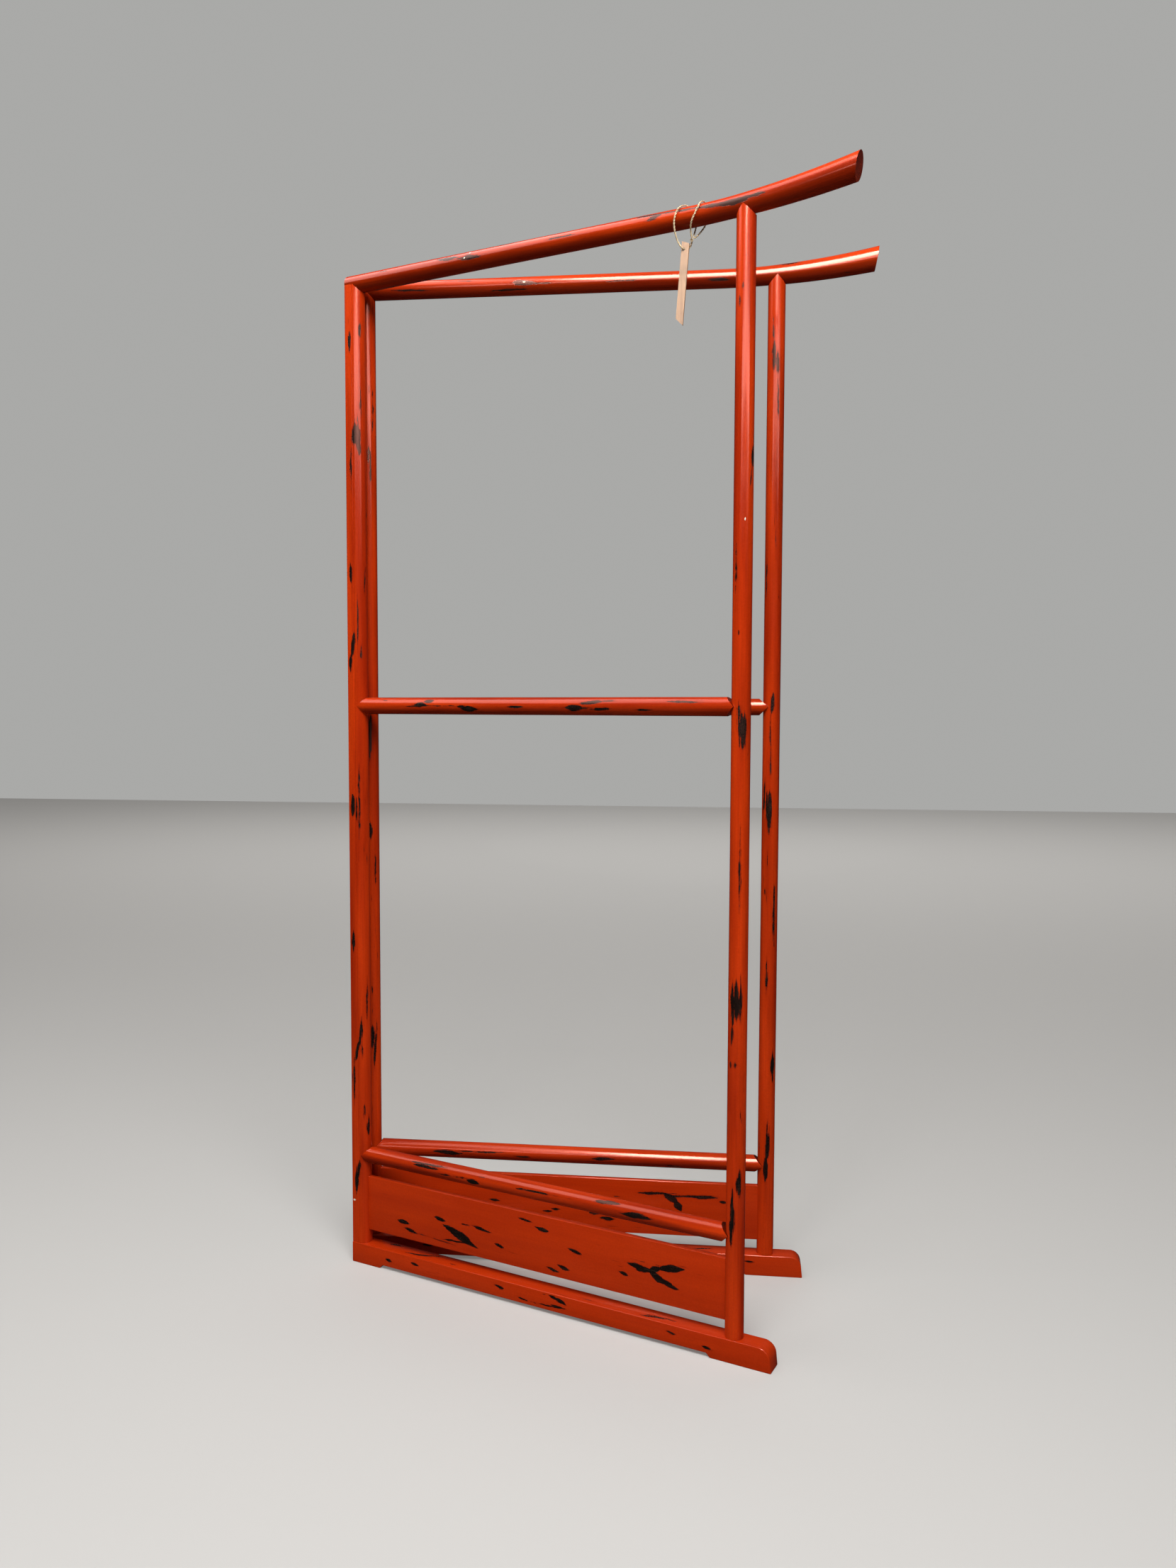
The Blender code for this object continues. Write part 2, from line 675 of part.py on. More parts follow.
def hang_tag(wing, empty):
    """A slim slip of bamboo with slanted ends, pierced near one side of its top."""
    left = -TAG_HOLE_INSET
    right = left + TAG_WIDTH
    top = TAG_HOLE_DROP
    end = top - TAG_LENGTH
    outline = [(left, top), (right, top - TAG_TOP_SLANT)]
    outline += [(right, end), (left, end + TAG_END_SLANT)]
    face = TAG_THICKNESS / 2
    shape = bmesh.new()
    corners = [shape.verts.new((s, -face, z)) for s, z in outline]
    flat = shape.faces.new(corners)
    moved = bmesh.ops.extrude_face_region(shape, geom=[flat])["geom"]
    verts = [v for v in moved if isinstance(v, bmesh.types.BMVert)]
    bmesh.ops.translate(shape, verts=verts, vec=(0, TAG_THICKNESS, 0))
    tag = add_object("hang_tag", finish_mesh("hang_tag", shape, False), empty, bamboo)
    tag.location = middle(wing, TAG_EYE.x, TAG_EYE.z - RAIL_HEIGHT) - empty_offset(wing)
    tag.rotation_euler = (0, TAG_LEAN, 0)
    ends = Vector((0, -2 * TAG_THICKNESS, 0)), Vector((0, 2 * TAG_THICKNESS, 0))
    eye_mesh = finish_mesh("tag_eye", cylinder(*ends, TAG_HOLE_RADIUS, SMALL_SIDES))
    eye = add_helper("tag_eye", eye_mesh, empty)
    eye.location = tag.location
    cut(tag, eye)
    return tag


def empty_offset(wing):
    """From the wing's own origin to the top rail's axis above the tag, at floor height."""
    return middle(wing, TAG_EYE.x, 0)


def smooth_route(points, count):
    """Points evenly spaced in parameter on a Catmull-Rom curve through the given ones."""
    padded = [2 * points[0] - points[1], *points, 2 * points[-1] - points[-2]]
    result = []
    for i in range(count):
        position = i / (count - 1) * (len(points) - 1)
        k = min(int(position), len(points) - 2)
        t = position - k
        a, b, c, d = padded[k : k + 4]
        result.append(
            0.5
            * (
                2 * b
                + (c - a) * t
                + (2 * a - 5 * b + 4 * c - d) * t**2
                + (3 * b - 3 * c + d - a) * t**3
            )
        )
    return result


def tag_cord(wing, empty):
    """A thin cord wound twice over the rail and once through the tag's eye."""
    route = [
        wing_point(wing, s * MM, WING_OFFSET + n * MM, z * MM) for s, n, z in CORD_ROUTE
    ]
    axis = empty_offset(wing) + Vector((0, 0, RAIL_HEIGHT))
    curve = bpy.data.curves.new("tag_cord", "CURVE")
    curve.dimensions = "3D"
    curve.bevel_depth = CORD_RADIUS
    curve.bevel_resolution = 2
    curve.use_fill_caps = True
    spline = curve.splines.new("POLY")
    points = smooth_route(route, CORD_POINTS)
    spline.points.add(len(points) - 1)
    for target, point in zip(spline.points, points):
        target.co = (*(point - axis), 1)
    curve.materials.append(twine)
    cord = bpy.data.objects.new("tag_cord", curve)
    parts.objects.link(cord)
    cord.parent = empty
    return cord


# The whole rack


def new_empty(name, parent=None):
    empty = bpy.data.objects.new(name, None)
    cutters.objects.link(empty)
    empty.parent = parent
    return empty


def build_wing(wing, screw):
    base_runner(wing)
    hinge_post(wing)
    outer_post(wing)
    top_rail(wing)
    cross_rail(wing, "middle_rail", MIDDLE_HEIGHT)
    cross_rail(wing, "lower_rail", LOWER_HEIGHT)
    skirt_board(wing)
    for level_name, level in HINGE_LEVELS.items():
        hinge_leaf(wing, level_name, level)
        leaf_screws(wing, level_name, level, screw)


def centre_on_floor(origin):
    """Move the rack so that the frame's origin is on the floor under its box's middle."""
    bpy.context.view_layer.update()
    depsgraph = bpy.context.evaluated_depsgraph_get()
    points = []
    for piece in parts.objects:
        if piece.parent == tag_empty:
            continue
        ready = piece.evaluated_get(depsgraph)
        points += [piece.matrix_world @ v.co for v in ready.to_mesh().vertices]
        ready.to_mesh_clear()
    for axis in (0, 1):
        low = min(p[axis] for p in points)
        high = max(p[axis] for p in points)
        origin.location[axis] = -(low + high) / 2


clear_scene()
parts = new_collection("garment_rack")
cutters = new_collection("cutters")
lacquer = principled("red_lacquer", LACQUER, 0.32)
brass = principled("hinge_brass", BRASS, 0.38, 1.0)
steel = principled("screw_steel", STEEL, 0.42, 1.0)
bamboo = principled("tag_bamboo", BAMBOO, 0.7)
twine = principled("tag_twine", TWINE, 0.9)

hinge_line = new_empty("hinge_line")
rear = SimpleNamespace(name="rear", side=1, empty=new_empty("rear_wing", hinge_line))
front = SimpleNamespace(name="front", side=-1, empty=new_empty("front_wing", hinge_line))
front.empty.rotation_euler = (0, 0, -OPEN_ANGLE)
tag_empty = new_empty("tag_pivot", front.empty)
tag_empty.location = empty_offset(front) + Vector((0, 0, RAIL_HEIGHT))

screw_blank = screw_mesh()
build_wing(rear, screw_blank)
build_wing(front, screw_blank)
for pin_name, pin_level in HINGE_LEVELS.items():
    hinge_pin(pin_name, pin_level)
hang_tag(front, tag_empty)
tag_cord(front, tag_empty)
centre_on_floor(hinge_line)
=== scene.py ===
"""The looks of the folding garment rack: finer pieces, worn red lacquer, light and camera.

Each wing is drawn in its own coordinates: s runs along the wing from the hinge line, n is
measured from the wing's middle plane and grows away from the other wing, and z is up.
Lengths are in millimetres times MM, in the same numbers as the CAD source.
"""

import json
from math import asin, cos, hypot, pi, radians, sin
from types import SimpleNamespace

import bmesh
import bpy
from mathutils import Matrix, Vector


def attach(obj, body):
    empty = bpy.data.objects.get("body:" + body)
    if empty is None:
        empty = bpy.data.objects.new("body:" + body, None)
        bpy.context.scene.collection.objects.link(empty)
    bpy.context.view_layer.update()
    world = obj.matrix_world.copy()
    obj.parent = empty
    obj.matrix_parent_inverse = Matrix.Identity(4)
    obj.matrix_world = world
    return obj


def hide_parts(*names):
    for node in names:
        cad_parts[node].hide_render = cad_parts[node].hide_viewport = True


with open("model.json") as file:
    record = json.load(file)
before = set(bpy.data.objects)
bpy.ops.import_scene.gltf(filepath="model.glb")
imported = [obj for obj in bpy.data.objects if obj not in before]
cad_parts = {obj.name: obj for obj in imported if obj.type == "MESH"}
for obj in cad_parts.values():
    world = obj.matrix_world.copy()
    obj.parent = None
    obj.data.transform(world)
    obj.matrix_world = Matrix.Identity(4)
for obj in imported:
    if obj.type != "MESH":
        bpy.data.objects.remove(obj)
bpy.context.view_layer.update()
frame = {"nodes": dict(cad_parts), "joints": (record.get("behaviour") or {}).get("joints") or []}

MM = 0.001

# The wings, as in the CAD source
OPEN_ANGLE = radians(21.3)
POST_AXIS = 632 * MM
RAIL_HEIGHT = 1500 * MM
MIDDLE_HEIGHT = 870.5 * MM
LOWER_HEIGHT = 171 * MM
WING_OFFSET = 14.2 * MM
GAP = 0.3 * MM
POST_RADIUS = 12.7 * MM
CROSS_RADIUS = 12.6 * MM
CROSS_START = 17 * MM
CROSS_END = 626 * MM
HINGE_POST_FLAT = 13.5 * MM
QUIRK = 0.5 * MM
RAIL_HALF_HEIGHT = 13.3 * MM
RAIL_HALF_WIDTH = 12.6 * MM
TIP_HALF_HEIGHT = 17 * MM
TIP_HALF_WIDTH = 13.8 * MM
ARC_START = 545 * MM
ARC_RADIUS = 1300 * MM
FLARE_START = 610 * MM
RAIL_TIP = 775 * MM
TIP_LEAN = radians(9.5)
RUNNER_HEIGHT = 31.6 * MM
RUNNER_WIDTH = 27.7 * MM
RUNNER_LENGTH = 688.5 * MM
RUNNER_END_RISE = 15 * MM
RUNNER_END_LEAN = 1.5 * MM
HINGE_FOOT = 53 * MM
OUTER_FOOT = 602.5 * MM
FOOT_RELIEF = 5.5 * MM
BOARD_BOTTOM = 52.2 * MM
BOARD_TOP = 137.4 * MM
BOARD_THICKNESS = 8 * MM
BOARD_START = 21.2 * MM
BOARD_END = 624.3 * MM
HINGE_LEVELS = (1380 * MM, 780 * MM, 245 * MM)
HINGE_HALF = 25 * MM
LEAF_DEPTH = 1.8 * MM
LEAF_REACH = 24.3 * MM
BARREL_ROOM = 3.2 * MM
BARREL_HALF = 27.1 * MM

# The tag's cord: s, n and z of its route in millimetres, as in the CAD source
CORD_ROUTE = [
    (558.6, 3.0, 1471.8),
    (558.8, 7.0, 1478.6),
    (560.6, 11.8, 1484.6),
    (563.4, 15.0, 1490.0),
    (567.4, 15.6, 1497.0),
    (571.2, 13.9, 1505.6),
    (573.0, 7.8, 1513.2),
    (573.8, 0.4, 1515.7),
    (574.0, -7.1, 1514.1),
    (573.4, -12.8, 1508.7),
    (572.2, -14.9, 1500.5),
    (570.2, -14.0, 1492.1),
    (567.0, -10.2, 1484.6),
    (563.6, -5.4, 1477.8),
    (560.6, -2.8, 1474.4),
    (557.8, -5.2, 1477.6),
    (557.4, -10.0, 1484.8),
    (557.0, -14.0, 1492.1),
    (555.6, -14.9, 1500.5),
    (553.6, -12.8, 1508.6),
    (551.4, -7.1, 1513.9),
    (549.4, 0.0, 1515.4),
    (546.2, 7.3, 1513.2),
    (542.8, 12.7, 1508.0),
    (540.2, 15.2, 1500.0),
    (538.8, 15.2, 1490.4),
    (539.1, 12.8, 1480.2),
    (540.6, 9.0, 1471.4),
    (543.4, 5.6, 1464.6),
    (545.9, 2.6, 1461.4),
    (546.4, 0.0, 1461.0),
    (547.0, -2.6, 1461.2),
    (550.4, -4.2, 1462.6),
    (554.4, -3.4, 1465.6),
    (556.6, -1.6, 1469.4),
]
STRAND_RADIUS = 0.66 * MM
STRAND_OFFSET = 0.54 * MM
TWIST_PITCH = 8 * MM

# Mesh fineness
SIDES = 48
RING_STEP = 40 * MM
EASE = 1.1 * MM  # rounding of the runners' and boards' edges
SMOOTH_ANGLE = radians(35)

# Where the box-like pieces' other faces start across the "surface" map
TOP_FACE, UNDER_FACE, END_FACE = 1.0, 2.0, 3.0

# Worn marks: from (along, across) to (along, across), and the width, all in
# millimetres. Along is s on a rail and z on a post. Across is the way round a rail or post
# from the side that faces the front of the rack, or z on a board's or runner's face.
MARKS = {
    "front_skirt_board": [
        (80, 79, 103, 77, 6), (150, 98, 171, 95, 6), (93, 69, 120, 64, 5),
        (112, 66, 178, 62, 1.4), (199, 97, 226, 97, 1.4), (218, 98, 252, 94, 4.5),
        (298, 127, 322, 124, 5), (326, 119, 350, 116, 5.5), (258, 79, 274, 76, 5),
        (380, 99, 402, 95, 5.5), (345, 64, 368, 60, 5), (363, 71, 384, 67, 6),
        (163, 90, 228, 65, 12), (176, 89, 204, 70, 11), (190, 84, 218, 68, 11),
        (165, 66, 204, 69, 2), (474, 99, 516, 93, 9), (508, 95, 526, 103, 9),
        (520, 101, 560, 108, 10), (506, 95, 534, 81, 10), (524, 86, 552, 78, 8),
        (461, 84, 477, 80, 5),
    ],
    "rear_skirt_board": [
        (200, 95, 220, 93, 4.5), (285, 81, 301, 80, 4), (300, 85, 315, 84, 3.5),
        (375, 74, 400, 73, 6), (357, 82, 375, 80, 5), (437, 117, 482, 118, 5),
        (474, 119, 500, 103, 10), (492, 108, 504, 91, 11), (481, 114, 514, 115, 3),
        (505, 115, 561, 115, 5.5), (562, 109, 573, 108, 4), (96, 88, 118, 86, 5),
    ],
    "front_base_runner": [
        (64, 17, 78, 15, 4), (113, 22, 127, 20, 5), (263, 22, 281, 20, 5),
        (302, 14, 324, 10, 3), (318, 11, 372, 13, 1.5), (355, 28, 370, 25, 5),
        (362, 27, 384, 20, 6), (358, 15, 382, 14, 4), (538, 22, 555, 20, 4),
        (592, 14, 607, 12, 4), (96, 1006, 140, 1000, 4), (120, 1002, 156, 992, 3),
        (60, 994, 82, 990, 4), (498, 1008, 545, 1000, 4), (505, 1003, 548, 1002, 2),
        (174, 1006, 190, 1004, 2),
    ],
    "rear_base_runner": [
        (600, 22, 617, 21, 4), (410, 18, 428, 16, 4), (96, 20, 112, 19, 4),
        (520, 1002, 552, 998, 3), (240, 1004, 262, 1001, 4),
    ],
    "front_lower_rail": [
        (108, 8, 172, 10, 3), (116, 5, 152, 5, 6), (134, 3, 162, 5, 3),
        (156, -1, 212, 1, 1.4), (214, -1, 236, -3, 9), (298, 3, 362, 4, 2.4),
        (424, 9, 466, 12, 5), (468, 0, 516, 1, 8), (480, 3, 504, 4, 4),
    ],
    "rear_lower_rail": [
        (112, 1, 162, -2, 7), (146, 2, 224, 3, 1.3), (244, -2, 269, -3, 3),
        (364, 0, 404, 1, 6), (476, -6, 502, -8, 5),
    ],
    "front_middle_rail": [
        (106, -1, 150, 0, 2), (124, 2, 144, 2, 7), (139, 7, 158, 8, 6),
        (144, 0, 206, 0, 1), (198, 0, 214, -2, 4), (205, -4, 234, -5, 9),
        (286, -1, 313, -1, 2.4), (377, -2, 408, -3, 9), (366, -2, 442, -3, 2),
        (402, 4, 438, 7, 6), (430, 7, 454, 8, 2), (404, -5, 452, -4, 2.4),
        (484, -5, 514, -5, 3), (524, 7, 580, 6, 2),
    ],
    "rear_middle_rail": [(90, 2, 130, 3, 6), (300, -3, 352, -2, 3), (455, 4, 498, 5, 6)],
    "front_outer_post": [
        (1224, 23, 1178, 18, 2.5), (1202, 19, 1174, 18, 7), (1178, 17, 1152, 14, 2.5),
        (1082, -5, 1016, -5, 1.5), (969, 0, 962, 0, 2.4), (710, 5, 610, 5, 2.2),
        (876, 1, 824, 3, 4), (868, 5, 816, 7, 6), (864, 9, 820, 10, 5),
        (509, -3, 446, -3, 5), (515, 2, 460, 3, 7), (516, 8, 462, 8, 4),
        (458, -3, 430, -4, 4), (406, 2, 399, 2, 3), (406, -5, 398, -5, 2.4),
        (264, 9, 226, 9, 5), (254, 6, 234, 6, 3), (232, 0, 156, -1, 5.5),
        (1388, -4, 1374, -4, 3), (1403, 1, 1393, 1, 3),
    ],
    "rear_outer_post": [
        (1434, -5, 1400, -4, 2), (1406, -3, 1363, -4, 6), (1394, 1, 1350, 3, 5),
        (1360, 3, 1298, 4, 2.4), (1087, -11, 1038, -12, 2.4), (808, -1, 766, -1, 1.8),
        (758, -10, 710, -12, 3.4), (750, -2, 678, -2, 7), (742, -6, 698, -6, 4),
        (608, 7, 512, 8, 3.4), (892, 2, 858, -1, 7), (866, -2, 798, -2, 2.2),
        (487, -3, 435, -3, 3), (352, 8, 298, 9, 7), (228, 4, 176, 1, 5),
        (188, 0, 148, -1, 8), (244, 1, 162, 0, 2.4),
    ],
    "front_hinge_post": [
        (1428, 9, 1400, 9, 5), (1442, 27, 1418, 26, 4), (1347, 27, 1313, 27, 3),
        (1296, 18, 1258, 16, 8), (1292, 22, 1244, 25, 8), (1264, 11, 1198, 10, 3.6),
        (1088, 7, 1056, 8, 6), (1032, 20, 966, 20, 2), (982, 14, 943, 8, 8),
        (952, 7, 923, 6, 5.5), (962, 25, 942, 25, 2.6), (1075, 32, 1041, 31, 2.4),
        (736, 8, 700, 8, 8), (772, 20, 730, 19, 2), (729, 15, 696, 15, 3.6),
        (729, 20, 658, 19, 3), (524, 7, 492, 7, 6), (442, 30, 388, 29, 3),
        (388, 21, 343, 17, 5), (354, 16, 320, 9, 7), (328, 7, 258, 6, 3),
        (350, 21, 323, 21, 2.4), (254, 24, 230, 24, 3), (236, 31, 202, 30, 5),
        (162, 16, 133, 12, 5), (154, 10, 104, 8, 7),
    ],
    "rear_hinge_post": [
        (1349, 26, 1293, 25, 2.4), (1270, 18, 1238, 18, 5), (1258, 21, 1214, 21, 3.4),
        (860, 18, 784, 16, 7), (694, 16, 662, 17, 6), (644, 24, 595, 24, 3),
        (372, 17, 330, 17, 6), (371, 24, 306, 20, 3.4), (1120, 8, 1092, 8, 5),
        (980, 9, 930, 8, 3),
    ],
    "front_top_rail": [
        (62, 7, 82, 8, 2.4), (166, 8, 208, 4, 6), (198, 3, 242, 0, 7),
        (264, 14, 298, 14, 4), (350, 4, 394, 3, 3), (484, 10, 524, 8, 4),
        (496, 1, 520, 7, 6), (516, 8, 562, 6, 3), (545, 5, 602, 5, 2.4),
        (572, 4, 618, 1, 4), (592, 3, 644, 0, 8), (620, 2, 662, 2, 6),
    ],
    "rear_top_rail": [
        (236, 2, 278, 0, 8), (268, -1, 304, -1, 2), (212, -9, 262, -8, 3),
        (52, -3, 114, -5, 2), (134, 8, 182, 7, 2), (383, -2, 422, -1, 2.4),
        (528, -4, 562, -5, 4), (632, 13, 668, 13, 4),
    ],
}

# Small pale chips, placed the same way
CHIPS = {
    "front_top_rail": [(212, 2, 217, 2, 3.4), (221, 9, 224, 9, 1.4)],
    "front_hinge_post": [(99, 1, 99, 8, 2.2)],
    "rear_top_rail": [(256, 2, 260, 2, 1.8)],
    "front_outer_post": [(1111, 7, 1106, 7, 1.6)],
}

# Colours, linear
VERMILION = (0.54, 0.038, 0.0030, 1)
SCARLET = (0.33, 0.0180, 0.0020, 1)
RUBBED_RED = (0.10, 0.0055, 0.0022, 1)
UNDER_BLACK = (0.0060, 0.0042, 0.0034, 1)
DUSTY_BLACK = (0.026, 0.015, 0.010, 1)
# pale pink for eased edges: partly wear, partly a painted highlight
PALE_EDGE_WEAR_AND_HIGHLIGHT = (0.60, 0.135, 0.055, 1)
CHIP = (0.78, 0.68, 0.52, 1)
SHEEN_TINT = (1.0, 0.42, 0.33, 1)
BRASS = (0.52, 0.33, 0.12, 1)
TARNISH = (0.16, 0.095, 0.040, 1)
STEEL = (0.34, 0.33, 0.31, 1)
BAMBOO_PALE = (0.38, 0.215, 0.112, 1)
BAMBOO_DARK = (0.24, 0.115, 0.052, 1)
TWINE_PALE = (0.66, 0.50, 0.27, 1)
TWINE_DARK = (0.34, 0.22, 0.095, 1)
FLOOR = (0.36, 0.35, 0.335, 1)
WALL = (0.40, 0.40, 0.39, 1)

# The stage: how far the floor reaches from the middle, in metres, and its own glow
FLOOR_REACH = 9
FLOOR_GLOW = 0.45
SQUARE = ((-1, -1), (1, -1), (1, 1), (-1, 1))

# Painted shade on the rails: where a rail's coat begins to darken downwards, in millimetres
# above its axis, and how far down it goes on darkening. The undersides are painted darker as
# shade.
PAINTED_SHADE_LINE = {"top_rail": 8, "middle_rail": 3, "lower_rail": 3}
PAINTED_SHADE_DEPTH = 13


# Shader nodes


class Nodes:
    """Adds nodes to one material. An input may be a number, a colour or a socket."""

    def __init__(self, tree):
        self.tree = tree

    def node(self, kind, inputs=None, **settings):
        node = self.tree.nodes.new(kind)
        for name, value in settings.items():
            setattr(node, name, value)
        for name, value in (inputs or {}).items():
            self.put(node.inputs[name], value)
        return node

    def put(self, socket, value):
        if isinstance(value, bpy.types.NodeSocket):
            self.tree.links.new(value, socket)
        else:
            socket.default_value = value

    def math(self, operation, a, b=0.0, clamp=False):
        inputs = {0: a, 1: b}
        node = self.node("ShaderNodeMath", inputs, operation=operation, use_clamp=clamp)
        return node.outputs[0]

    def noise(self, place, stretch, detail=2.0, shift=0.0):
        """Noise between 0 and 1. stretch is how many features it has in a metre, each way."""
        inputs = {"Vector": place, "Scale": stretch, "Location": (shift, shift, shift)}
        mapping = self.node("ShaderNodeMapping", inputs)
        inputs = {"Vector": mapping.outputs[0], "Scale": 1.0, "Detail": detail}
        return self.node("ShaderNodeTexNoise", inputs).outputs[0]

    def remap(self, value, low, high, to_low=0.0, to_high=1.0):
        inputs = {0: value, 1: low, 2: high, 3: to_low, 4: to_high}
        return self.node("ShaderNodeMapRange", inputs).outputs[0]

    def blend(self, factor, a, b):
        inputs = {0: factor, 6: a, 7: b}
        return self.node("ShaderNodeMix", inputs, data_type="RGBA").outputs[2]

    def scaled(self, colour, factor):
        """A colour made lighter or darker by a factor near 1."""
        grey = self.node("ShaderNodeCombineColor", {0: factor, 1: factor, 2: factor})
        inputs = {0: 1.0, 6: colour, 7: grey.outputs[0]}
        node = self.node("ShaderNodeMix", inputs, data_type="RGBA", blend_type="MULTIPLY")
        return node.outputs[2]


def new_material(name):
    """A material with one Principled shader, and the helper that adds nodes to it."""
    material = bpy.data.materials.new(name)
    material.use_nodes = True
    shader = material.node_tree.nodes["Principled BSDF"]
    return material, Nodes(material.node_tree), shader


def streak_group():
    """A node group: how deep a place lies inside one pointed stroke, in metres."""
    group = bpy.data.node_groups.new("stroke", "ShaderNodeTree")
    for name in ("Place", "Middle", "Turn", "Half size"):
        group.interface.new_socket(name, in_out="INPUT", socket_type="NodeSocketVector")
    group.interface.new_socket("Depth", in_out="OUTPUT", socket_type="NodeSocketFloat")
    nodes = Nodes(group)
    given = nodes.node("NodeGroupInput").outputs
    inputs = {"Vector": given[0], "Location": given[1], "Rotation": given[2], "Scale": given[3]}
    inside = nodes.node("ShaderNodeMapping", inputs, vector_type="TEXTURE")
    along, across, _ = nodes.node("ShaderNodeSeparateXYZ", {0: inside.outputs[0]}).outputs
    width = nodes.node("ShaderNodeSeparateXYZ", {0: given[3]}).outputs[1]
    outline = nodes.math("SUBTRACT", 1.0, nodes.math("MULTIPLY", along, along))
    depth = nodes.math("SUBTRACT", outline, nodes.math("ABSOLUTE", across))
    nodes.node("NodeGroupOutput", {0: nodes.math("MULTIPLY", depth, width)})
    return group


def deepest_stroke(nodes, place, strokes):
    """The depth inside the nearest of several strokes, in metres."""
    deepest = -1.0
    for start_u, start_v, end_u, end_v, width in strokes:
        run, rise = end_u - start_u, end_v - start_v
        middle = ((start_u + end_u) / 2 * MM, (start_v + end_v) / 2 * MM, 0)
        inputs = {
            "Place": place,
            "Middle": middle,
            "Turn": (0, 0, Vector((run, rise)).angle_signed(Vector((1, 0)))),
            "Half size": (hypot(run, rise) / 2 * MM, width / 2 * MM, 1),
        }
        node = nodes.node("ShaderNodeGroup", node_tree=stroke)
        for name, value in inputs.items():
            nodes.put(node.inputs[name], value)
        deepest = nodes.math("MAXIMUM", node.outputs[0], deepest)
    return deepest


def lacquer(name, marks, chips, fray, seed, brushed=1.0, edge_wear_and_highlight=False, painted_shade=None):
    """Vermilion lacquer over black, rubbed through in strokes along the grain.

    fray is how far, in millimetres, the strokes' edges break up into fibres. brushed is how
    strong the coat's own bands and streaks are. painted_shade is a rail's PAINTED_SHADE_LINE:
    below it, and on its cut end, the red is darkened as painted shade. edge_wear_and_highlight
    makes a board's or runner's eased edges paler in patches, partly as wear and partly as a
    painted highlight.
    """
    material, nodes, shader = new_material(name)
    surface = nodes.node("ShaderNodeUVMap", uv_map="surface").outputs[0]
    section = nodes.node("ShaderNodeUVMap", uv_map="section").outputs[0]
    along = nodes.node("ShaderNodeSeparateXYZ", {0: surface}).outputs[0]
    a, b, _ = nodes.node("ShaderNodeSeparateXYZ", {0: section}).outputs
    grain = nodes.node("ShaderNodeCombineXYZ", {0: along, 1: a, 2: b}).outputs[0]

    # the red coat: broad brushed bands, fine streaks and a fine mottle
    bands = nodes.noise(grain, (3.5, 45, 45), 3.0, seed)
    streaks = nodes.noise(grain, (12, 620, 620), 2.0, seed)
    mottle = nodes.noise(grain, (420, 420, 420), 2.0, seed)
    middle = 0.6
    low, high = middle - 0.6 * brushed, middle + 0.4 * brushed
    red = nodes.blend(nodes.remap(bands, 0.36, 0.66, low, high), SCARLET, VERMILION)
    low, high = 1 - 0.14 * brushed, 1 + 0.10 * brushed
    red = nodes.scaled(red, nodes.remap(streaks, 0.25, 0.75, low, high))
    red = nodes.scaled(red, nodes.remap(mottle, 0.25, 0.75, 0.92, 1.06))
    # painted shade: a rail's red is darkened on its underside and on its cut end
    if painted_shade is not None:
        rim = nodes.math("ADD", b, nodes.remap(bands, 0.3, 0.7, -2 * MM, 2 * MM))
        lowest = (painted_shade - PAINTED_SHADE_DEPTH) * MM
        red = nodes.scaled(red, nodes.remap(rim, lowest, painted_shade * MM, 0.36, 1.0))
        red = nodes.scaled(red, nodes.remap(along, END_FACE - 0.5, END_FACE, 1.0, 0.4))
    # eased edges paler in patches: partly wear, partly a painted highlight along the edges
    if edge_wear_and_highlight:
        edge_wear_and_highlight_noise = nodes.noise(grain, (38, 300, 300), 3.0, seed)
        red = nodes.blend(nodes.remap(edge_wear_and_highlight_noise, 0.40, 0.62, 0.12, 0.85), red, PALE_EDGE_WEAR_AND_HIGHLIGHT)

    # the placed strokes, bent a little and frayed into fibres
    drift = nodes.noise(grain, (55, 160, 160), 3.0, seed + 1)
    fibres = nodes.noise(grain, (22, 1500, 1500), 2.0, seed + 2)
    nibble = nodes.noise(grain, (260, 700, 700), 2.0, seed + 3)
    depth = deepest_stroke(nodes, surface, marks)
    bend = nodes.remap(drift, 0.2, 0.8, -1.6 * MM, 1.6 * MM)
    depth = nodes.math("ADD", depth, bend)
    depth = nodes.math("ADD", depth, nodes.remap(fibres, 0.25, 0.75, -fray * MM, fray * MM))
    depth = nodes.math("ADD", depth, nodes.remap(nibble, 0.25, 0.75, -0.35 * MM, 0.35 * MM))

    # a few smaller flecks, scattered on every side
    fleck = nodes.noise(grain, (30, 330, 330), 2.0, seed + 5)
    patch = nodes.noise(grain, (5, 55, 55), 1.0, seed + 6)
    patch = nodes.remap(patch, 0.56, 0.68, -0.10, 0.012)
    fleck = nodes.math("ADD", nodes.math("SUBTRACT", fleck, 0.70), patch)
    depth = nodes.math("MAXIMUM", depth, nodes.math("MULTIPLY", fleck, 14 * MM))

    worn = nodes.remap(depth, -0.05 * MM, 0.25 * MM)
    rubbed = nodes.remap(depth, -1.5 * MM, 0.1 * MM)
    rubbed = nodes.math("MULTIPLY", rubbed, nodes.remap(streaks, 0.42, 0.62))
    dust = nodes.noise(grain, (60, 500, 500), 3.0, seed + 4)
    black = nodes.blend(nodes.remap(dust, 0.52, 0.74), UNDER_BLACK, DUSTY_BLACK)
    colour = nodes.blend(nodes.math("MULTIPLY", rubbed, 0.75), red, RUBBED_RED)
    colour = nodes.blend(worn, colour, black)
    if chips:
        chipped = nodes.math("ADD", deepest_stroke(nodes, surface, chips), bend)
        colour = nodes.blend(nodes.remap(chipped, 0.0, 0.2 * MM), colour, CHIP)
    if edge_wear_and_highlight:
        flake = nodes.noise(grain, (110, 300, 300), 2.0, seed + 7)
        colour = nodes.blend(nodes.remap(flake, 0.71, 0.74), colour, CHIP)
    nodes.put(shader.inputs["Base Color"], colour)

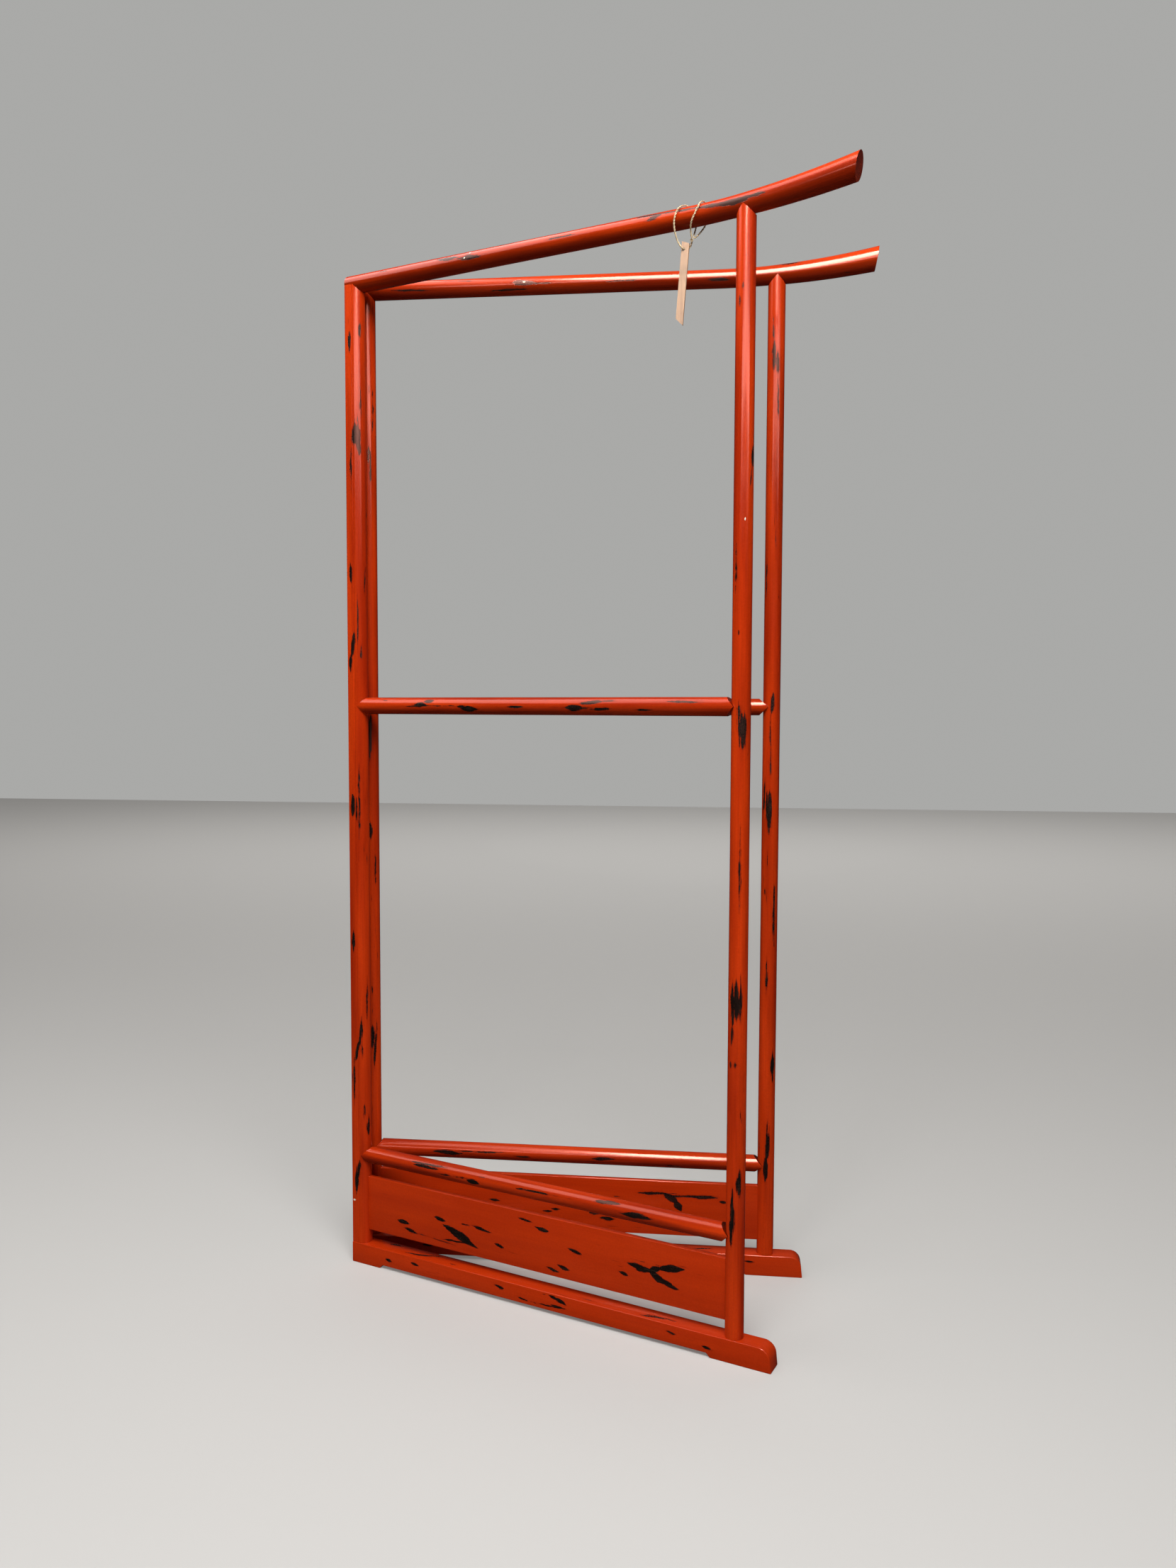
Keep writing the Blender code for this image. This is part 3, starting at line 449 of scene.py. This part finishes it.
    # sheen that varies with handling, and duller worn places
    handled = nodes.noise(grain, (6, 40, 40), 3.0, seed + 8)
    rough = nodes.remap(handled, 0.3, 0.7, 0.11, 0.19)
    rough = nodes.math("ADD", rough, nodes.remap(mottle, 0.3, 0.7, -0.02, 0.03))
    rough = nodes.math("ADD", rough, nodes.math("MULTIPLY", worn, 0.12))
    nodes.put(shader.inputs["Roughness"], rough)
    shader.inputs["Specular IOR Level"].default_value = 0.45
    shader.inputs["Specular Tint"].default_value = SHEEN_TINT

    # brush ridges, orange peel and the step down into the worn places
    ridge = nodes.math("MULTIPLY", streaks, 0.014)
    peel = nodes.math("MULTIPLY", nodes.noise(grain, (30, 90, 90), 2.0, seed + 9), 0.05)
    step = nodes.math("MULTIPLY", worn, -0.10)
    height = nodes.math("ADD", nodes.math("ADD", ridge, peel), step)
    bump = nodes.node("ShaderNodeBump", {"Height": height, "Strength": 0.55, "Distance": MM})
    nodes.put(shader.inputs["Normal"], bump.outputs[0])
    return material


def brass_material():
    """Old brass: brushed, and brown where it isn't rubbed."""
    material, nodes, shader = new_material("hinge_brass")
    place = nodes.node("ShaderNodeTexCoord").outputs["Object"]
    stain = nodes.noise(place, (140, 140, 90), 4.0)
    brushed = nodes.noise(place, (2500, 2500, 60), 2.0)
    colour = nodes.blend(nodes.remap(stain, 0.42, 0.66), BRASS, TARNISH)
    colour = nodes.scaled(colour, nodes.remap(brushed, 0.3, 0.7, 0.88, 1.08))
    nodes.put(shader.inputs["Base Color"], colour)
    shader.inputs["Metallic"].default_value = 1.0
    nodes.put(shader.inputs["Roughness"], nodes.remap(stain, 0.35, 0.7, 0.27, 0.52))
    bump = nodes.node("ShaderNodeBump", {"Height": brushed, "Strength": 0.2, "Distance": 0.1 * MM})
    nodes.put(shader.inputs["Normal"], bump.outputs[0])
    return material


def steel_material():
    """Dull steel screws with a trace of rust round the slots."""
    material, nodes, shader = new_material("screw_steel")
    place = nodes.node("ShaderNodeTexCoord").outputs["Object"]
    rust = nodes.noise(place, (420, 420, 420), 4.0)
    scratch = nodes.noise(place, (2600, 300, 2600), 2.0)
    colour = nodes.blend(nodes.remap(rust, 0.55, 0.72), STEEL, TARNISH)
    colour = nodes.scaled(colour, nodes.remap(scratch, 0.3, 0.7, 0.85, 1.1))
    nodes.put(shader.inputs["Base Color"], colour)
    shader.inputs["Metallic"].default_value = 1.0
    nodes.put(shader.inputs["Roughness"], nodes.remap(rust, 0.4, 0.7, 0.34, 0.6))
    bump = nodes.node("ShaderNodeBump", {"Height": scratch, "Strength": 0.2, "Distance": 0.1 * MM})
    nodes.put(shader.inputs["Normal"], bump.outputs[0])
    return material


def bamboo_material():
    """A split slip of bamboo: long fibres, a darker edge and a few handling stains."""
    material, nodes, shader = new_material("tag_bamboo")
    place = nodes.node("ShaderNodeTexCoord").outputs["Object"]
    inputs = {"Vector": place, "Rotation": (0, 0, OPEN_ANGLE)}
    place = nodes.node("ShaderNodeMapping", inputs).outputs[0]
    fibres = nodes.noise(place, (1500, 1500, 14), 3.0)
    bands = nodes.noise(place, (190, 190, 9), 2.0)
    stains = nodes.noise(place, (60, 60, 45), 4.0)
    colour = nodes.blend(nodes.remap(bands, 0.35, 0.68, 0.0, 0.75), BAMBOO_PALE, BAMBOO_DARK)
    colour = nodes.scaled(colour, nodes.remap(fibres, 0.3, 0.7, 0.80, 1.15))
    colour = nodes.scaled(colour, nodes.remap(stains, 0.35, 0.6, 0.82, 1.05))
    nodes.put(shader.inputs["Base Color"], colour)
    nodes.put(shader.inputs["Roughness"], nodes.remap(bands, 0.3, 0.7, 0.50, 0.68))
    bump = nodes.node("ShaderNodeBump", {"Height": fibres, "Strength": 0.4, "Distance": 0.2 * MM})
    nodes.put(shader.inputs["Normal"], bump.outputs[0])
    return material


def twine_material():
    """Pale plant-fibre twine, darker between its strands."""
    material, nodes, shader = new_material("tag_twine")
    place = nodes.node("ShaderNodeTexCoord").outputs["Object"]
    fibres = nodes.noise(place, (2600, 2600, 900), 3.0)
    tint = nodes.noise(place, (160, 160, 160), 2.0)
    colour = nodes.blend(nodes.remap(tint, 0.38, 0.66), TWINE_PALE, TWINE_DARK)
    colour = nodes.scaled(colour, nodes.remap(fibres, 0.3, 0.7, 0.72, 1.15))
    nodes.put(shader.inputs["Base Color"], colour)
    nodes.put(shader.inputs["Roughness"], nodes.remap(fibres, 0.3, 0.7, 0.72, 0.92))
    shader.inputs["Sheen Weight"].default_value = 0.3
    bump = nodes.node("ShaderNodeBump", {"Height": fibres, "Strength": 0.5, "Distance": 0.1 * MM})
    nodes.put(shader.inputs["Normal"], bump.outputs[0])
    return material


# Shapes, drawn in a wing's own coordinates


def new_shape():
    """An empty mesh with two maps: along and across the surface, and the cross-section."""
    shape = bmesh.new()
    shape.loops.layers.uv.new("surface")
    shape.loops.layers.uv.new("section")
    return shape


def set_maps(shape, corner, surface_place, section_place):
    corner[shape.loops.layers.uv["surface"]].uv = surface_place
    corner[shape.loops.layers.uv["section"]].uv = section_place


def skin(shape, rings, around):
    """Join closed rings of (point, (along, across), (a, b)) and close both ends."""
    made = [[shape.verts.new(point) for point, _, _ in ring] for ring in rings]
    count = len(made[0])
    for k in range(len(rings) - 1):
        for i in range(count):
            j = (i + 1) % count
            corners = ((k, i), (k, j), (k + 1, j), (k + 1, i))
            face = shape.faces.new([made[row][column] for row, column in corners])
            for corner, (row, column) in zip(face.loops, corners):
                _, (along, across), section_place = rings[row][column]
                if column == 0 and i != 0:
                    across += around
                set_maps(shape, corner, (along, across), section_place)
    for ring in (made[0], made[-1]):
        map_cut_face(shape, shape.faces.new(ring))


def map_cut_face(shape, face):
    """Maps for an end or a cut face, clear of every placed mark."""
    for corner in face.loops:
        s, n, z = corner.vert.co
        set_maps(shape, corner, (END_FACE + s + z, n), (n, z - s))


def trim(shape, point, outward):
    """Cut away what lies beyond a plane, and close the cut."""
    everything = shape.verts[:] + shape.edges[:] + shape.faces[:]
    result = bmesh.ops.bisect_plane(
        shape, geom=everything, plane_co=point, plane_no=outward, clear_outer=True
    )
    rim = [e for e in result["geom_cut"] if isinstance(e, bmesh.types.BMEdge)]
    for face in bmesh.ops.edgeloop_fill(shape, edges=rim)["faces"]:
        map_cut_face(shape, face)


def point_end(shape, tip, along, grow):
    """Sharpen a round end to a wedge whose edge runs through tip: two mitres at 45 degrees."""
    across = Vector((along.z, 0, along.x))
    for sign in (1, -1):
        outward = (along + sign * across).normalized()
        trim(shape, tip + outward * grow, outward)


def stations(start, end, step):
    """Even places from start to end, about a step apart, both included."""
    count = max(1, round((end - start) / step))
    return [start + (end - start) * i / count for i in range(count + 1)]


def wobble(along, seed):
    """A slow waver between -1 and 1, as in turned wood."""
    return 0.6 * sin(23 * along + seed) + 0.4 * sin(57 * along + 2.3 * seed)


def round_ring(facing, angle_count, half_n, half_other, place):
    """One ring of a rail or post. place turns (n, other) into a point."""
    ring = []
    radius = (half_n + half_other) / 2
    for i in range(angle_count):
        angle = -pi + 2 * pi * (i + 0.5) / angle_count
        n = facing * half_n * cos(angle)
        other = half_other * sin(angle)
        point, along = place(n, other)
        ring.append((point, (along, angle * radius), (n, other)))
    return ring


def cross_rail_shape(facing, height, grow=0.0, seed=0.0):
    shape = new_shape()
    spare = 2 * POST_RADIUS
    rings = []
    for s in stations(CROSS_START - spare, CROSS_END + spare, RING_STEP):
        radius = CROSS_RADIUS + grow + (0.07 * MM * wobble(s, seed) if seed else 0)
        place = lambda n, other, s=s: (Vector((s, n, height + other)), s)
        rings.append(round_ring(facing, SIDES, radius, radius, place))
    skin(shape, rings, 2 * pi * CROSS_RADIUS)
    point_end(shape, Vector((CROSS_START, 0, height)), Vector((-1, 0, 0)), grow)
    point_end(shape, Vector((CROSS_END, 0, height)), Vector((1, 0, 0)), grow)
    return shape


def outer_post_shape(facing, grow=0.0, seed=0.0):
    shape = new_shape()
    rings = []
    top = RAIL_HEIGHT + 2 * POST_RADIUS
    for z in stations(RUNNER_HEIGHT + GAP, top, RING_STEP):
        radius = POST_RADIUS + grow + (0.07 * MM * wobble(z, seed) if seed else 0)
        place = lambda n, other, z=z: (Vector((POST_AXIS + other, n, z)), z)
        rings.append(round_ring(facing, SIDES, radius, radius, place))
    skin(shape, rings, 2 * pi * POST_RADIUS)
    point_end(shape, Vector((POST_AXIS, 0, RAIL_HEIGHT)), Vector((0, 0, 1)), grow)
    return shape


def rail_axis_height(s):
    """Height of the top rail's axis: level, then rising on a large arc."""
    if s <= ARC_START:
        return RAIL_HEIGHT
    return RAIL_HEIGHT + ARC_RADIUS * (1 - cos(asin((s - ARC_START) / ARC_RADIUS)))


def top_rail_shape(facing, grow=0.0, seed=0.0):
    shape = new_shape()
    rings = []
    places = stations(GAP - grow, ARC_START, RING_STEP)
    places += stations(ARC_START, RAIL_TIP + TIP_HALF_HEIGHT, 12 * MM)[1:]
    for s in places:
        lean = asin(max(0.0, s - ARC_START) / ARC_RADIUS)
        flare = max(0.0, s - FLARE_START) / (RAIL_TIP - FLARE_START)
        extra = grow + (0.06 * MM * wobble(s, seed) if seed else 0)
        tall = RAIL_HALF_HEIGHT + flare * (TIP_HALF_HEIGHT - RAIL_HALF_HEIGHT) + extra
        wide = RAIL_HALF_WIDTH + flare * (TIP_HALF_WIDTH - RAIL_HALF_WIDTH) + extra
        middle = Vector((s, 0, rail_axis_height(s)))
        up = Vector((-sin(lean), 0, cos(lean)))
        place = lambda n, other, s=s, middle=middle, up=up: (
            middle + other * up + Vector((0, n, 0)),
            s,
        )
        rings.append(round_ring(facing, SIDES, wide, tall, place))
    skin(shape, rings, 2 * pi * (RAIL_HALF_HEIGHT + RAIL_HALF_WIDTH) / 2)
    tip = Vector((RAIL_TIP, 0, rail_axis_height(RAIL_TIP)))
    trim(shape, tip, Vector((cos(TIP_LEAN), 0, -sin(TIP_LEAN))))
    return shape


def hinge_post_outline(facing):
    """(s, n) points: the facing flat, its thin groove, the half round, and back."""
    half = POST_RADIUS
    groove = HINGE_POST_FLAT - 2 * QUIRK
    ease = 0.7 * MM
    quarter = [(1 - cos(a), 1 - sin(a)) for a in (0, pi / 6, pi / 3, pi / 2)]
    front = [(GAP + ease * x, half - ease * y) for x, y in quarter]
    front += [(groove, half), (groove + QUIRK * 0.6, half - QUIRK)]
    count = SIDES // 2
    arc = [
        (HINGE_POST_FLAT + half * sin(a), half * cos(a))
        for a in (pi * (i + 0.35) / (count - 0.3) for i in range(count))
    ]
    back = [(s, -n) for s, n in reversed(front)]
    return [(s, facing * n) for s, n in front + arc + back]


def hinge_post_shape(facing, seed):
    shape = new_shape()
    outline = hinge_post_outline(facing)
    across = [0.0]
    for (s0, n0), (s1, n1) in zip(outline, outline[1:]):
        across.append(across[-1] + hypot(s1 - s0, n1 - n0))
    around = across[-1] + 2 * POST_RADIUS
    rings = []
    for z in stations(RUNNER_HEIGHT + GAP, RAIL_HEIGHT, RING_STEP):
        scale = 1 + 0.004 * wobble(z, seed)
        rings.append(
            [
                (Vector((s, n * scale, z)), (z, way), (n, s))
                for (s, n), way in zip(outline, across)
            ]
        )
    skin(shape, rings, around)
    return shape


def extruded(outline, half):
    """A flat outline of (s, z) points drawn from -half to half across the wing, edges eased."""
    shape = new_shape()
    face = shape.faces.new([shape.verts.new((s, -half, z)) for s, z in outline])
    moved = bmesh.ops.extrude_face_region(shape, geom=[face])["geom"]
    verts = [v for v in moved if isinstance(v, bmesh.types.BMVert)]
    bmesh.ops.translate(shape, verts=verts, vec=(0, 2 * half, 0))
    bmesh.ops.recalc_face_normals(shape, faces=shape.faces)
    sharp = [e for e in shape.edges if e.calc_face_angle() > SMOOTH_ANGLE]
    result = bmesh.ops.bevel(
        shape, geom=sharp, offset=EASE, offset_type="OFFSET", segments=3,
        profile=0.5, affect="EDGES", clamp_overlap=True,
    )
    for face in result["faces"]:
        face.material_index = 1
    return shape


def map_box(shape, facing, top):
    """Maps for a box-like piece, each face flat on. The side that faces away has the facing
    side's marks end for end and upside down."""
    for face in shape.faces:
        _, n_way, z_way = face.normal
        for corner in face.loops:
            s, n, z = corner.vert.co
            if n_way * facing > 0.7:
                place = (s, z)
            elif n_way * facing < -0.7:
                place = (OUTER_FOOT - s, top - z)
            elif abs(z_way) > 0.5:
                place = (s, (TOP_FACE if z_way > 0 else UNDER_FACE) + facing * n)
            else:
                place = (END_FACE + z, n)
            set_maps(shape, corner, place, (n, z))


def skirt_board_shape(facing):
    outline = [
        (BOARD_START, BOARD_BOTTOM),
        (BOARD_END, BOARD_BOTTOM),
        (BOARD_END, BOARD_TOP),
        (BOARD_START, BOARD_TOP),
    ]
    shape = extruded(outline, BOARD_THICKNESS / 2)
    map_box(shape, facing, BOARD_BOTTOM + BOARD_TOP)
    return shape


def base_runner_shape(facing):
    radius = RUNNER_HEIGHT - RUNNER_END_RISE
    shoulder = RUNNER_LENGTH - RUNNER_END_LEAN
    outline = [(GAP, 0), (HINGE_FOOT, 0), (HINGE_FOOT + FOOT_RELIEF, FOOT_RELIEF)]
    outline += [(OUTER_FOOT - FOOT_RELIEF, FOOT_RELIEF), (OUTER_FOOT, 0), (RUNNER_LENGTH, 0)]
    for i in range(13):
        turn = pi / 2 * i / 12
        outline.append(
            (shoulder - radius * (1 - cos(turn)), RUNNER_END_RISE + radius * sin(turn))
        )
    outline.append((GAP, RUNNER_HEIGHT))
    shape = extruded(outline, RUNNER_WIDTH / 2)
    map_box(shape, facing, RUNNER_HEIGHT)
    return shape


def box_shape(low, high):
    """A plain cutter between two corners."""
    shape = new_shape()
    place = Matrix.Translation((low + high) / 2) @ Matrix.Diagonal(high - low).to_4x4()
    bmesh.ops.create_cube(shape, size=1, matrix=place)
    return shape


def hinge_room(level):
    """Cutters for one hinge's recess and for the room round its barrel."""
    inner = -WING_OFFSET
    low = Vector((-LEAF_DEPTH, inner, level - HINGE_HALF - GAP))
    high = Vector((LEAF_DEPTH, inner + LEAF_REACH, level + HINGE_HALF + GAP))
    barrel = new_shape()
    bmesh.ops.create_cone(
        barrel, cap_ends=True, segments=24, radius1=BARREL_ROOM, radius2=BARREL_ROOM,
        depth=2 * BARREL_HALF, matrix=Matrix.Translation((0, inner, level)),
    )
    return [box_shape(low, high), barrel]


# Pieces


def to_world(wing):
    """The matrix from a wing's own (s, n, z) to the row frame."""
    mirror = Matrix.Diagonal((1, wing.side, 1)).to_4x4()
    offset = Matrix.Translation((0, WING_OFFSET, 0))
    turn = Matrix.Rotation(wing.turn, 4, "Z")
    return Matrix.Translation(hinge_line) @ turn @ mirror @ offset


def mesh_of(shape, name, wing):
    bmesh.ops.transform(shape, matrix=to_world(wing), verts=shape.verts)
    bmesh.ops.recalc_face_normals(shape, faces=shape.faces)
    mesh = bpy.data.meshes.new(name)
    shape.to_mesh(mesh)
    shape.free()
    return mesh


def add_piece(name, mesh, materials, body):
    piece = bpy.data.objects.new(name, mesh)
    bpy.context.scene.collection.objects.link(piece)
    for material in materials:
        mesh.materials.append(material)
    mesh.shade_smooth()
    mesh.set_sharp_from_angle(angle=SMOOTH_ANGLE)
    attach(piece, body)
    return piece


def carve(mesh, cutters, wing):
    """The mesh with the cutters' shapes taken out of it."""
    blank = bpy.data.objects.new("blank", mesh)
    bpy.context.scene.collection.objects.link(blank)
    tools = []
    for shape in cutters:
        tool = bpy.data.objects.new("tool", mesh_of(shape, "tool", wing))
        bpy.context.scene.collection.objects.link(tool)
        modifier = blank.modifiers.new("cut", "BOOLEAN")
        modifier.operation = "DIFFERENCE"
        modifier.solver = "EXACT"
        modifier.object = tool
        tools.append(tool)
    bpy.context.view_layer.update()
    ready = blank.evaluated_get(bpy.context.evaluated_depsgraph_get())
    carved = bpy.data.meshes.new_from_object(ready)
    carved.name = mesh.name
    for item in (blank, *tools):
        bpy.data.objects.remove(item)
    return carved


def wooden_piece(wing, part, shape, fray, cutters=(), flat=False):
    """One lacquered piece with its own marks, standing for the CAD node of the same name."""
    name = f"{wing.name}_{part}"
    seed = 3.7 * len(made_pieces) + 1.0
    mesh = mesh_of(shape, f"{name}_lacquered", wing)
    if cutters:
        mesh = carve(mesh, cutters, wing)
    brushed = 0.35 if flat else 1.0
    own = (MARKS[name], CHIPS.get(name))
    # painted shade for a rail's underside and cut end
    painted_shade = PAINTED_SHADE_LINE.get(part)
    materials = [lacquer(f"{name}_lacquer", *own, fray, seed, brushed, painted_shade=painted_shade)]
    if flat:
        # the eased edges' coat: partly wear, partly a painted highlight
        materials.append(lacquer(f"{name}_edge", [], None, fray, seed, brushed, True))
    mesh.materials.clear()
    piece = add_piece(f"{name}_lacquered", mesh, materials, wing.body)
    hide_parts(name)
    made_pieces.append(piece)
    return piece


def build_wing(wing):
    facing = wing.facing
    seed = 2.0 + wing.side
    rails = (("middle_rail", MIDDLE_HEIGHT), ("lower_rail", LOWER_HEIGHT))
    wooden_piece(wing, "base_runner", base_runner_shape(facing), 0.25, flat=True)
    wooden_piece(wing, "skirt_board", skirt_board_shape(facing), 0.2, flat=True)
    for part, height in rails:
        wooden_piece(wing, part, cross_rail_shape(facing, height, 0, seed + height), 0.7)
    notches = [cross_rail_shape(facing, height, GAP) for _, height in rails]
    wooden_piece(wing, "outer_post", outer_post_shape(facing, 0, seed + 1), 1.5, notches)
    notches = [cross_rail_shape(facing, height, GAP) for _, height in rails]
    notches.append(top_rail_shape(facing, GAP))
    for level in HINGE_LEVELS:
        notches += hinge_room(level)
    wooden_piece(wing, "hinge_post", hinge_post_shape(facing, seed + 2), 1.3, notches)
    saddle = [outer_post_shape(facing, GAP)]
    wooden_piece(wing, "top_rail", top_rail_shape(facing, 0, seed + 3), 0.9, saddle)


def finish_metal():
    """The CAD's hinges and screws keep their shapes and get their real materials."""
    for name, node in frame["nodes"].items():
        if name.startswith("hinge_leaf") or name.startswith("hinge_pin"):
            node.material_slots[0].material = brass
        elif name.startswith("screw"):
            node.material_slots[0].material = steel


# Hang tag and its cord


def smooth_route(points, count):
    """Points evenly spaced in parameter on a Catmull-Rom curve through the given ones."""
    padded = [2 * points[0] - points[1], *points, 2 * points[-1] - points[-2]]
    result = []
    for i in range(count):
        position = i / (count - 1) * (len(points) - 1)
        k = min(int(position), len(points) - 2)
        t = position - k
        a, b, c, d = padded[k : k + 4]
        bent = (2 * a - 5 * b + 4 * c - d) * t**2 + (3 * b - 3 * c + d - a) * t**3
        result.append(0.5 * (2 * b + (c - a) * t + bent))
    return result


def twisted_mesh(name, route, pitch, offset, radius, strands=2, sides=7):
    """Strands wound round a route, as twine is laid."""
    shape = bmesh.new()
    side = Vector((1, 0, 0))
    way = 0.0
    rows = []
    for i, point in enumerate(route):
        ahead = route[min(i + 1, len(route) - 1)] - route[max(i - 1, 0)]
        ahead.normalize()
        side = (side - side.dot(ahead) * ahead).normalized()
        up = ahead.cross(side)
        if i:
            way += (point - route[i - 1]).length
        row = []
        for strand in range(strands):
            turn = 2 * pi * (way / pitch + strand / strands)
            middle = point + offset * (cos(turn) * side + sin(turn) * up)
            ring = []
            for k in range(sides):
                angle = 2 * pi * k / sides
                ring.append(
                    shape.verts.new(middle + radius * (cos(angle) * side + sin(angle) * up))
                )
            row.append(ring)
        rows.append(row)
    for row, following in zip(rows, rows[1:]):
        for ring, next_ring in zip(row, following):
            for k in range(sides):
                j = (k + 1) % sides
                shape.faces.new((ring[k], ring[j], next_ring[j], next_ring[k]))
    for row in (rows[0], rows[-1]):
        for ring in row:
            shape.faces.new(ring)
    bmesh.ops.recalc_face_normals(shape, faces=shape.faces)
    mesh = bpy.data.meshes.new(name)
    shape.to_mesh(mesh)
    shape.free()
    return mesh


def knot_route(middle):
    """A small overhand knot, drawn as a closed trefoil without loose ends."""
    size = 1.5 * MM
    points = []
    for i in range(90):
        t = 2 * pi * i / 89
        x = sin(t) + 2 * sin(2 * t)
        y = cos(t) - 2 * cos(2 * t)
        z = -sin(3 * t)
        points.append(middle + 0.42 * size * Vector((x, 1.2 * z, y)))
    return points


def tag_and_cord():
    matrix = to_world(front)
    route = [matrix @ Vector((s * MM, n * MM, z * MM)) for s, n, z in CORD_ROUTE]
    path = smooth_route(route, 560)
    mesh = twisted_mesh("tag_cord_twine", path, TWIST_PITCH, STRAND_OFFSET, STRAND_RADIUS)
    cord = add_piece("tag_cord_twine", mesh, [twine], "tag")
    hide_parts("tag_cord")
    middle = (route[0] + route[-1]) / 2
    mesh = twisted_mesh("tag_knot", knot_route(middle), 3 * MM, 0.3 * MM, 0.42 * MM)
    knot = add_piece("tag_knot", mesh, [twine], "tag")
    tag = frame["nodes"]["hang_tag"]
    tag.material_slots[0].material = bamboo
    ease = tag.modifiers.new("eased edges", "BEVEL")
    ease.width = 0.35 * MM
    ease.segments = 2


# Stage, light and camera


def floor():
    """A plain pale floor. Only the camera sees its glow, and the lacquer doesn't reflect it."""
    mesh = bpy.data.meshes.new("floor")
    corners = [(FLOOR_REACH * x, FLOOR_REACH * y, 0) for x, y in SQUARE]
    mesh.from_pydata(corners, [], [(0, 1, 2, 3)])
    material, nodes, shader = new_material("floor")
    shader.inputs["Base Color"].default_value = FLOOR
    seen = nodes.node("ShaderNodeLightPath").outputs["Is Camera Ray"]
    nodes.put(shader.inputs["Emission Color"], FLOOR)
    nodes.put(shader.inputs["Emission Strength"], nodes.math("MULTIPLY", seen, FLOOR_GLOW))
    shader.inputs["Roughness"].default_value = 0.8
    mesh.materials.append(material)
    item = bpy.data.objects.new("floor", mesh)
    item.visible_glossy = False
    bpy.context.scene.collection.objects.link(item)


def area_light(name, place, target, width, height, power, reflected=False):
    """A soft panel that lights the surfaces, or one that only shows as a reflection."""
    light = bpy.data.lights.new(name, "AREA")
    light.shape = "RECTANGLE"
    light.size = width
    light.size_y = height
    light.energy = power
    item = bpy.data.objects.new(name, light)
    bpy.context.scene.collection.objects.link(item)
    item.visible_diffuse = not reflected
    item.visible_glossy = reflected
    item.location = place
    item.rotation_euler = (Vector(target) - Vector(place)).to_track_quat("-Z", "Y").to_euler()


def studio_world():
    """A dim room, a little paler overhead. Only the camera sees the plain grey wall."""
    world = bpy.data.worlds.new("studio")
    world.use_nodes = True
    nodes = Nodes(world.node_tree)
    room = world.node_tree.nodes["Background"]
    way_up = nodes.node("ShaderNodeTexCoord").outputs["Generated"]
    way_up = nodes.node("ShaderNodeSeparateXYZ", {0: way_up}).outputs[2]
    nodes.put(room.inputs["Strength"], nodes.remap(way_up, 0.20, 0.80, 0.02, 0.12))
    room.inputs["Color"].default_value = (1.0, 0.97, 0.93, 1)
    wall = nodes.node("ShaderNodeBackground", {"Color": WALL, "Strength": 1.0})
    seen = nodes.node("ShaderNodeLightPath").outputs["Is Camera Ray"]
    mix = nodes.node("ShaderNodeMixShader", {0: seen, 1: room.outputs[0], 2: wall.outputs[0]})
    nodes.put(world.node_tree.nodes["World Output"].inputs["Surface"], mix.outputs[0])
    bpy.context.scene.world = world


def lights():
    """Three soft panels light the surfaces. Three more show only as reflections in the coat."""
    area_light("key", (0.2, -1.5, 2.72), (0.1, -0.3, 0.6), 1.6, 1.2, 95)
    area_light("left_fill", (-1.6, -0.6, 2.75), (-1.0, -0.3, 0), 1.6, 2.0, 24)
    area_light("back_of_floor", (0, 5.5, 3.5), (0, 6, 0), 9.0, 4.0, 200)
    area_light("ceiling_panel", (0.14, -1.9, 2.72), (0.14, -1.9, 0), 0.83, 2.6, 430, True)
    area_light("left_panel", (-1.6, -0.4, 2.75), (-1.3, -0.3, 0), 1.6, 2.6, 66, True)
    area_light("far_window", (1.2, -4.6, 2.75), (0.6, 0, 1.4), 9.0, 0.6, 210, True)
    studio_world()
    bpy.context.scene.view_settings.view_transform = "Standard"


def camera():
    """Stands where the photograph was taken, with its angle of view."""
    data = bpy.data.cameras.new("camera")
    data.sensor_width = 36
    data.lens = 27.71
    item = bpy.data.objects.new("camera", data)
    bpy.context.scene.collection.objects.link(item)
    heading = Matrix.Rotation(radians(6.53), 4, "Z")
    pitch = Matrix.Rotation(radians(90 - 3.59), 4, "X")
    roll = Matrix.Rotation(radians(0.19), 4, "Z")
    place = Matrix.Translation((0.18083, -1.67851, 0.8678))
    item.matrix_world = place @ heading @ pitch @ roll
    bpy.context.scene.camera = item


joint_places = {joint["name"]: Vector(joint["pos_m"]) for joint in frame["joints"]}
hinge_line = joint_places["wings_fold"]
rear = SimpleNamespace(name="rear", side=1, turn=0.0, facing=-1, body="rear_wing")
front = SimpleNamespace(name="front", side=-1, turn=-OPEN_ANGLE, facing=1, body="front_wing")
made_pieces = []
stroke = streak_group()
brass = brass_material()
steel = steel_material()
bamboo = bamboo_material()
twine = twine_material()

camera()
tag_and_cord()
build_wing(rear)
build_wing(front)
finish_metal()
floor()
lights()
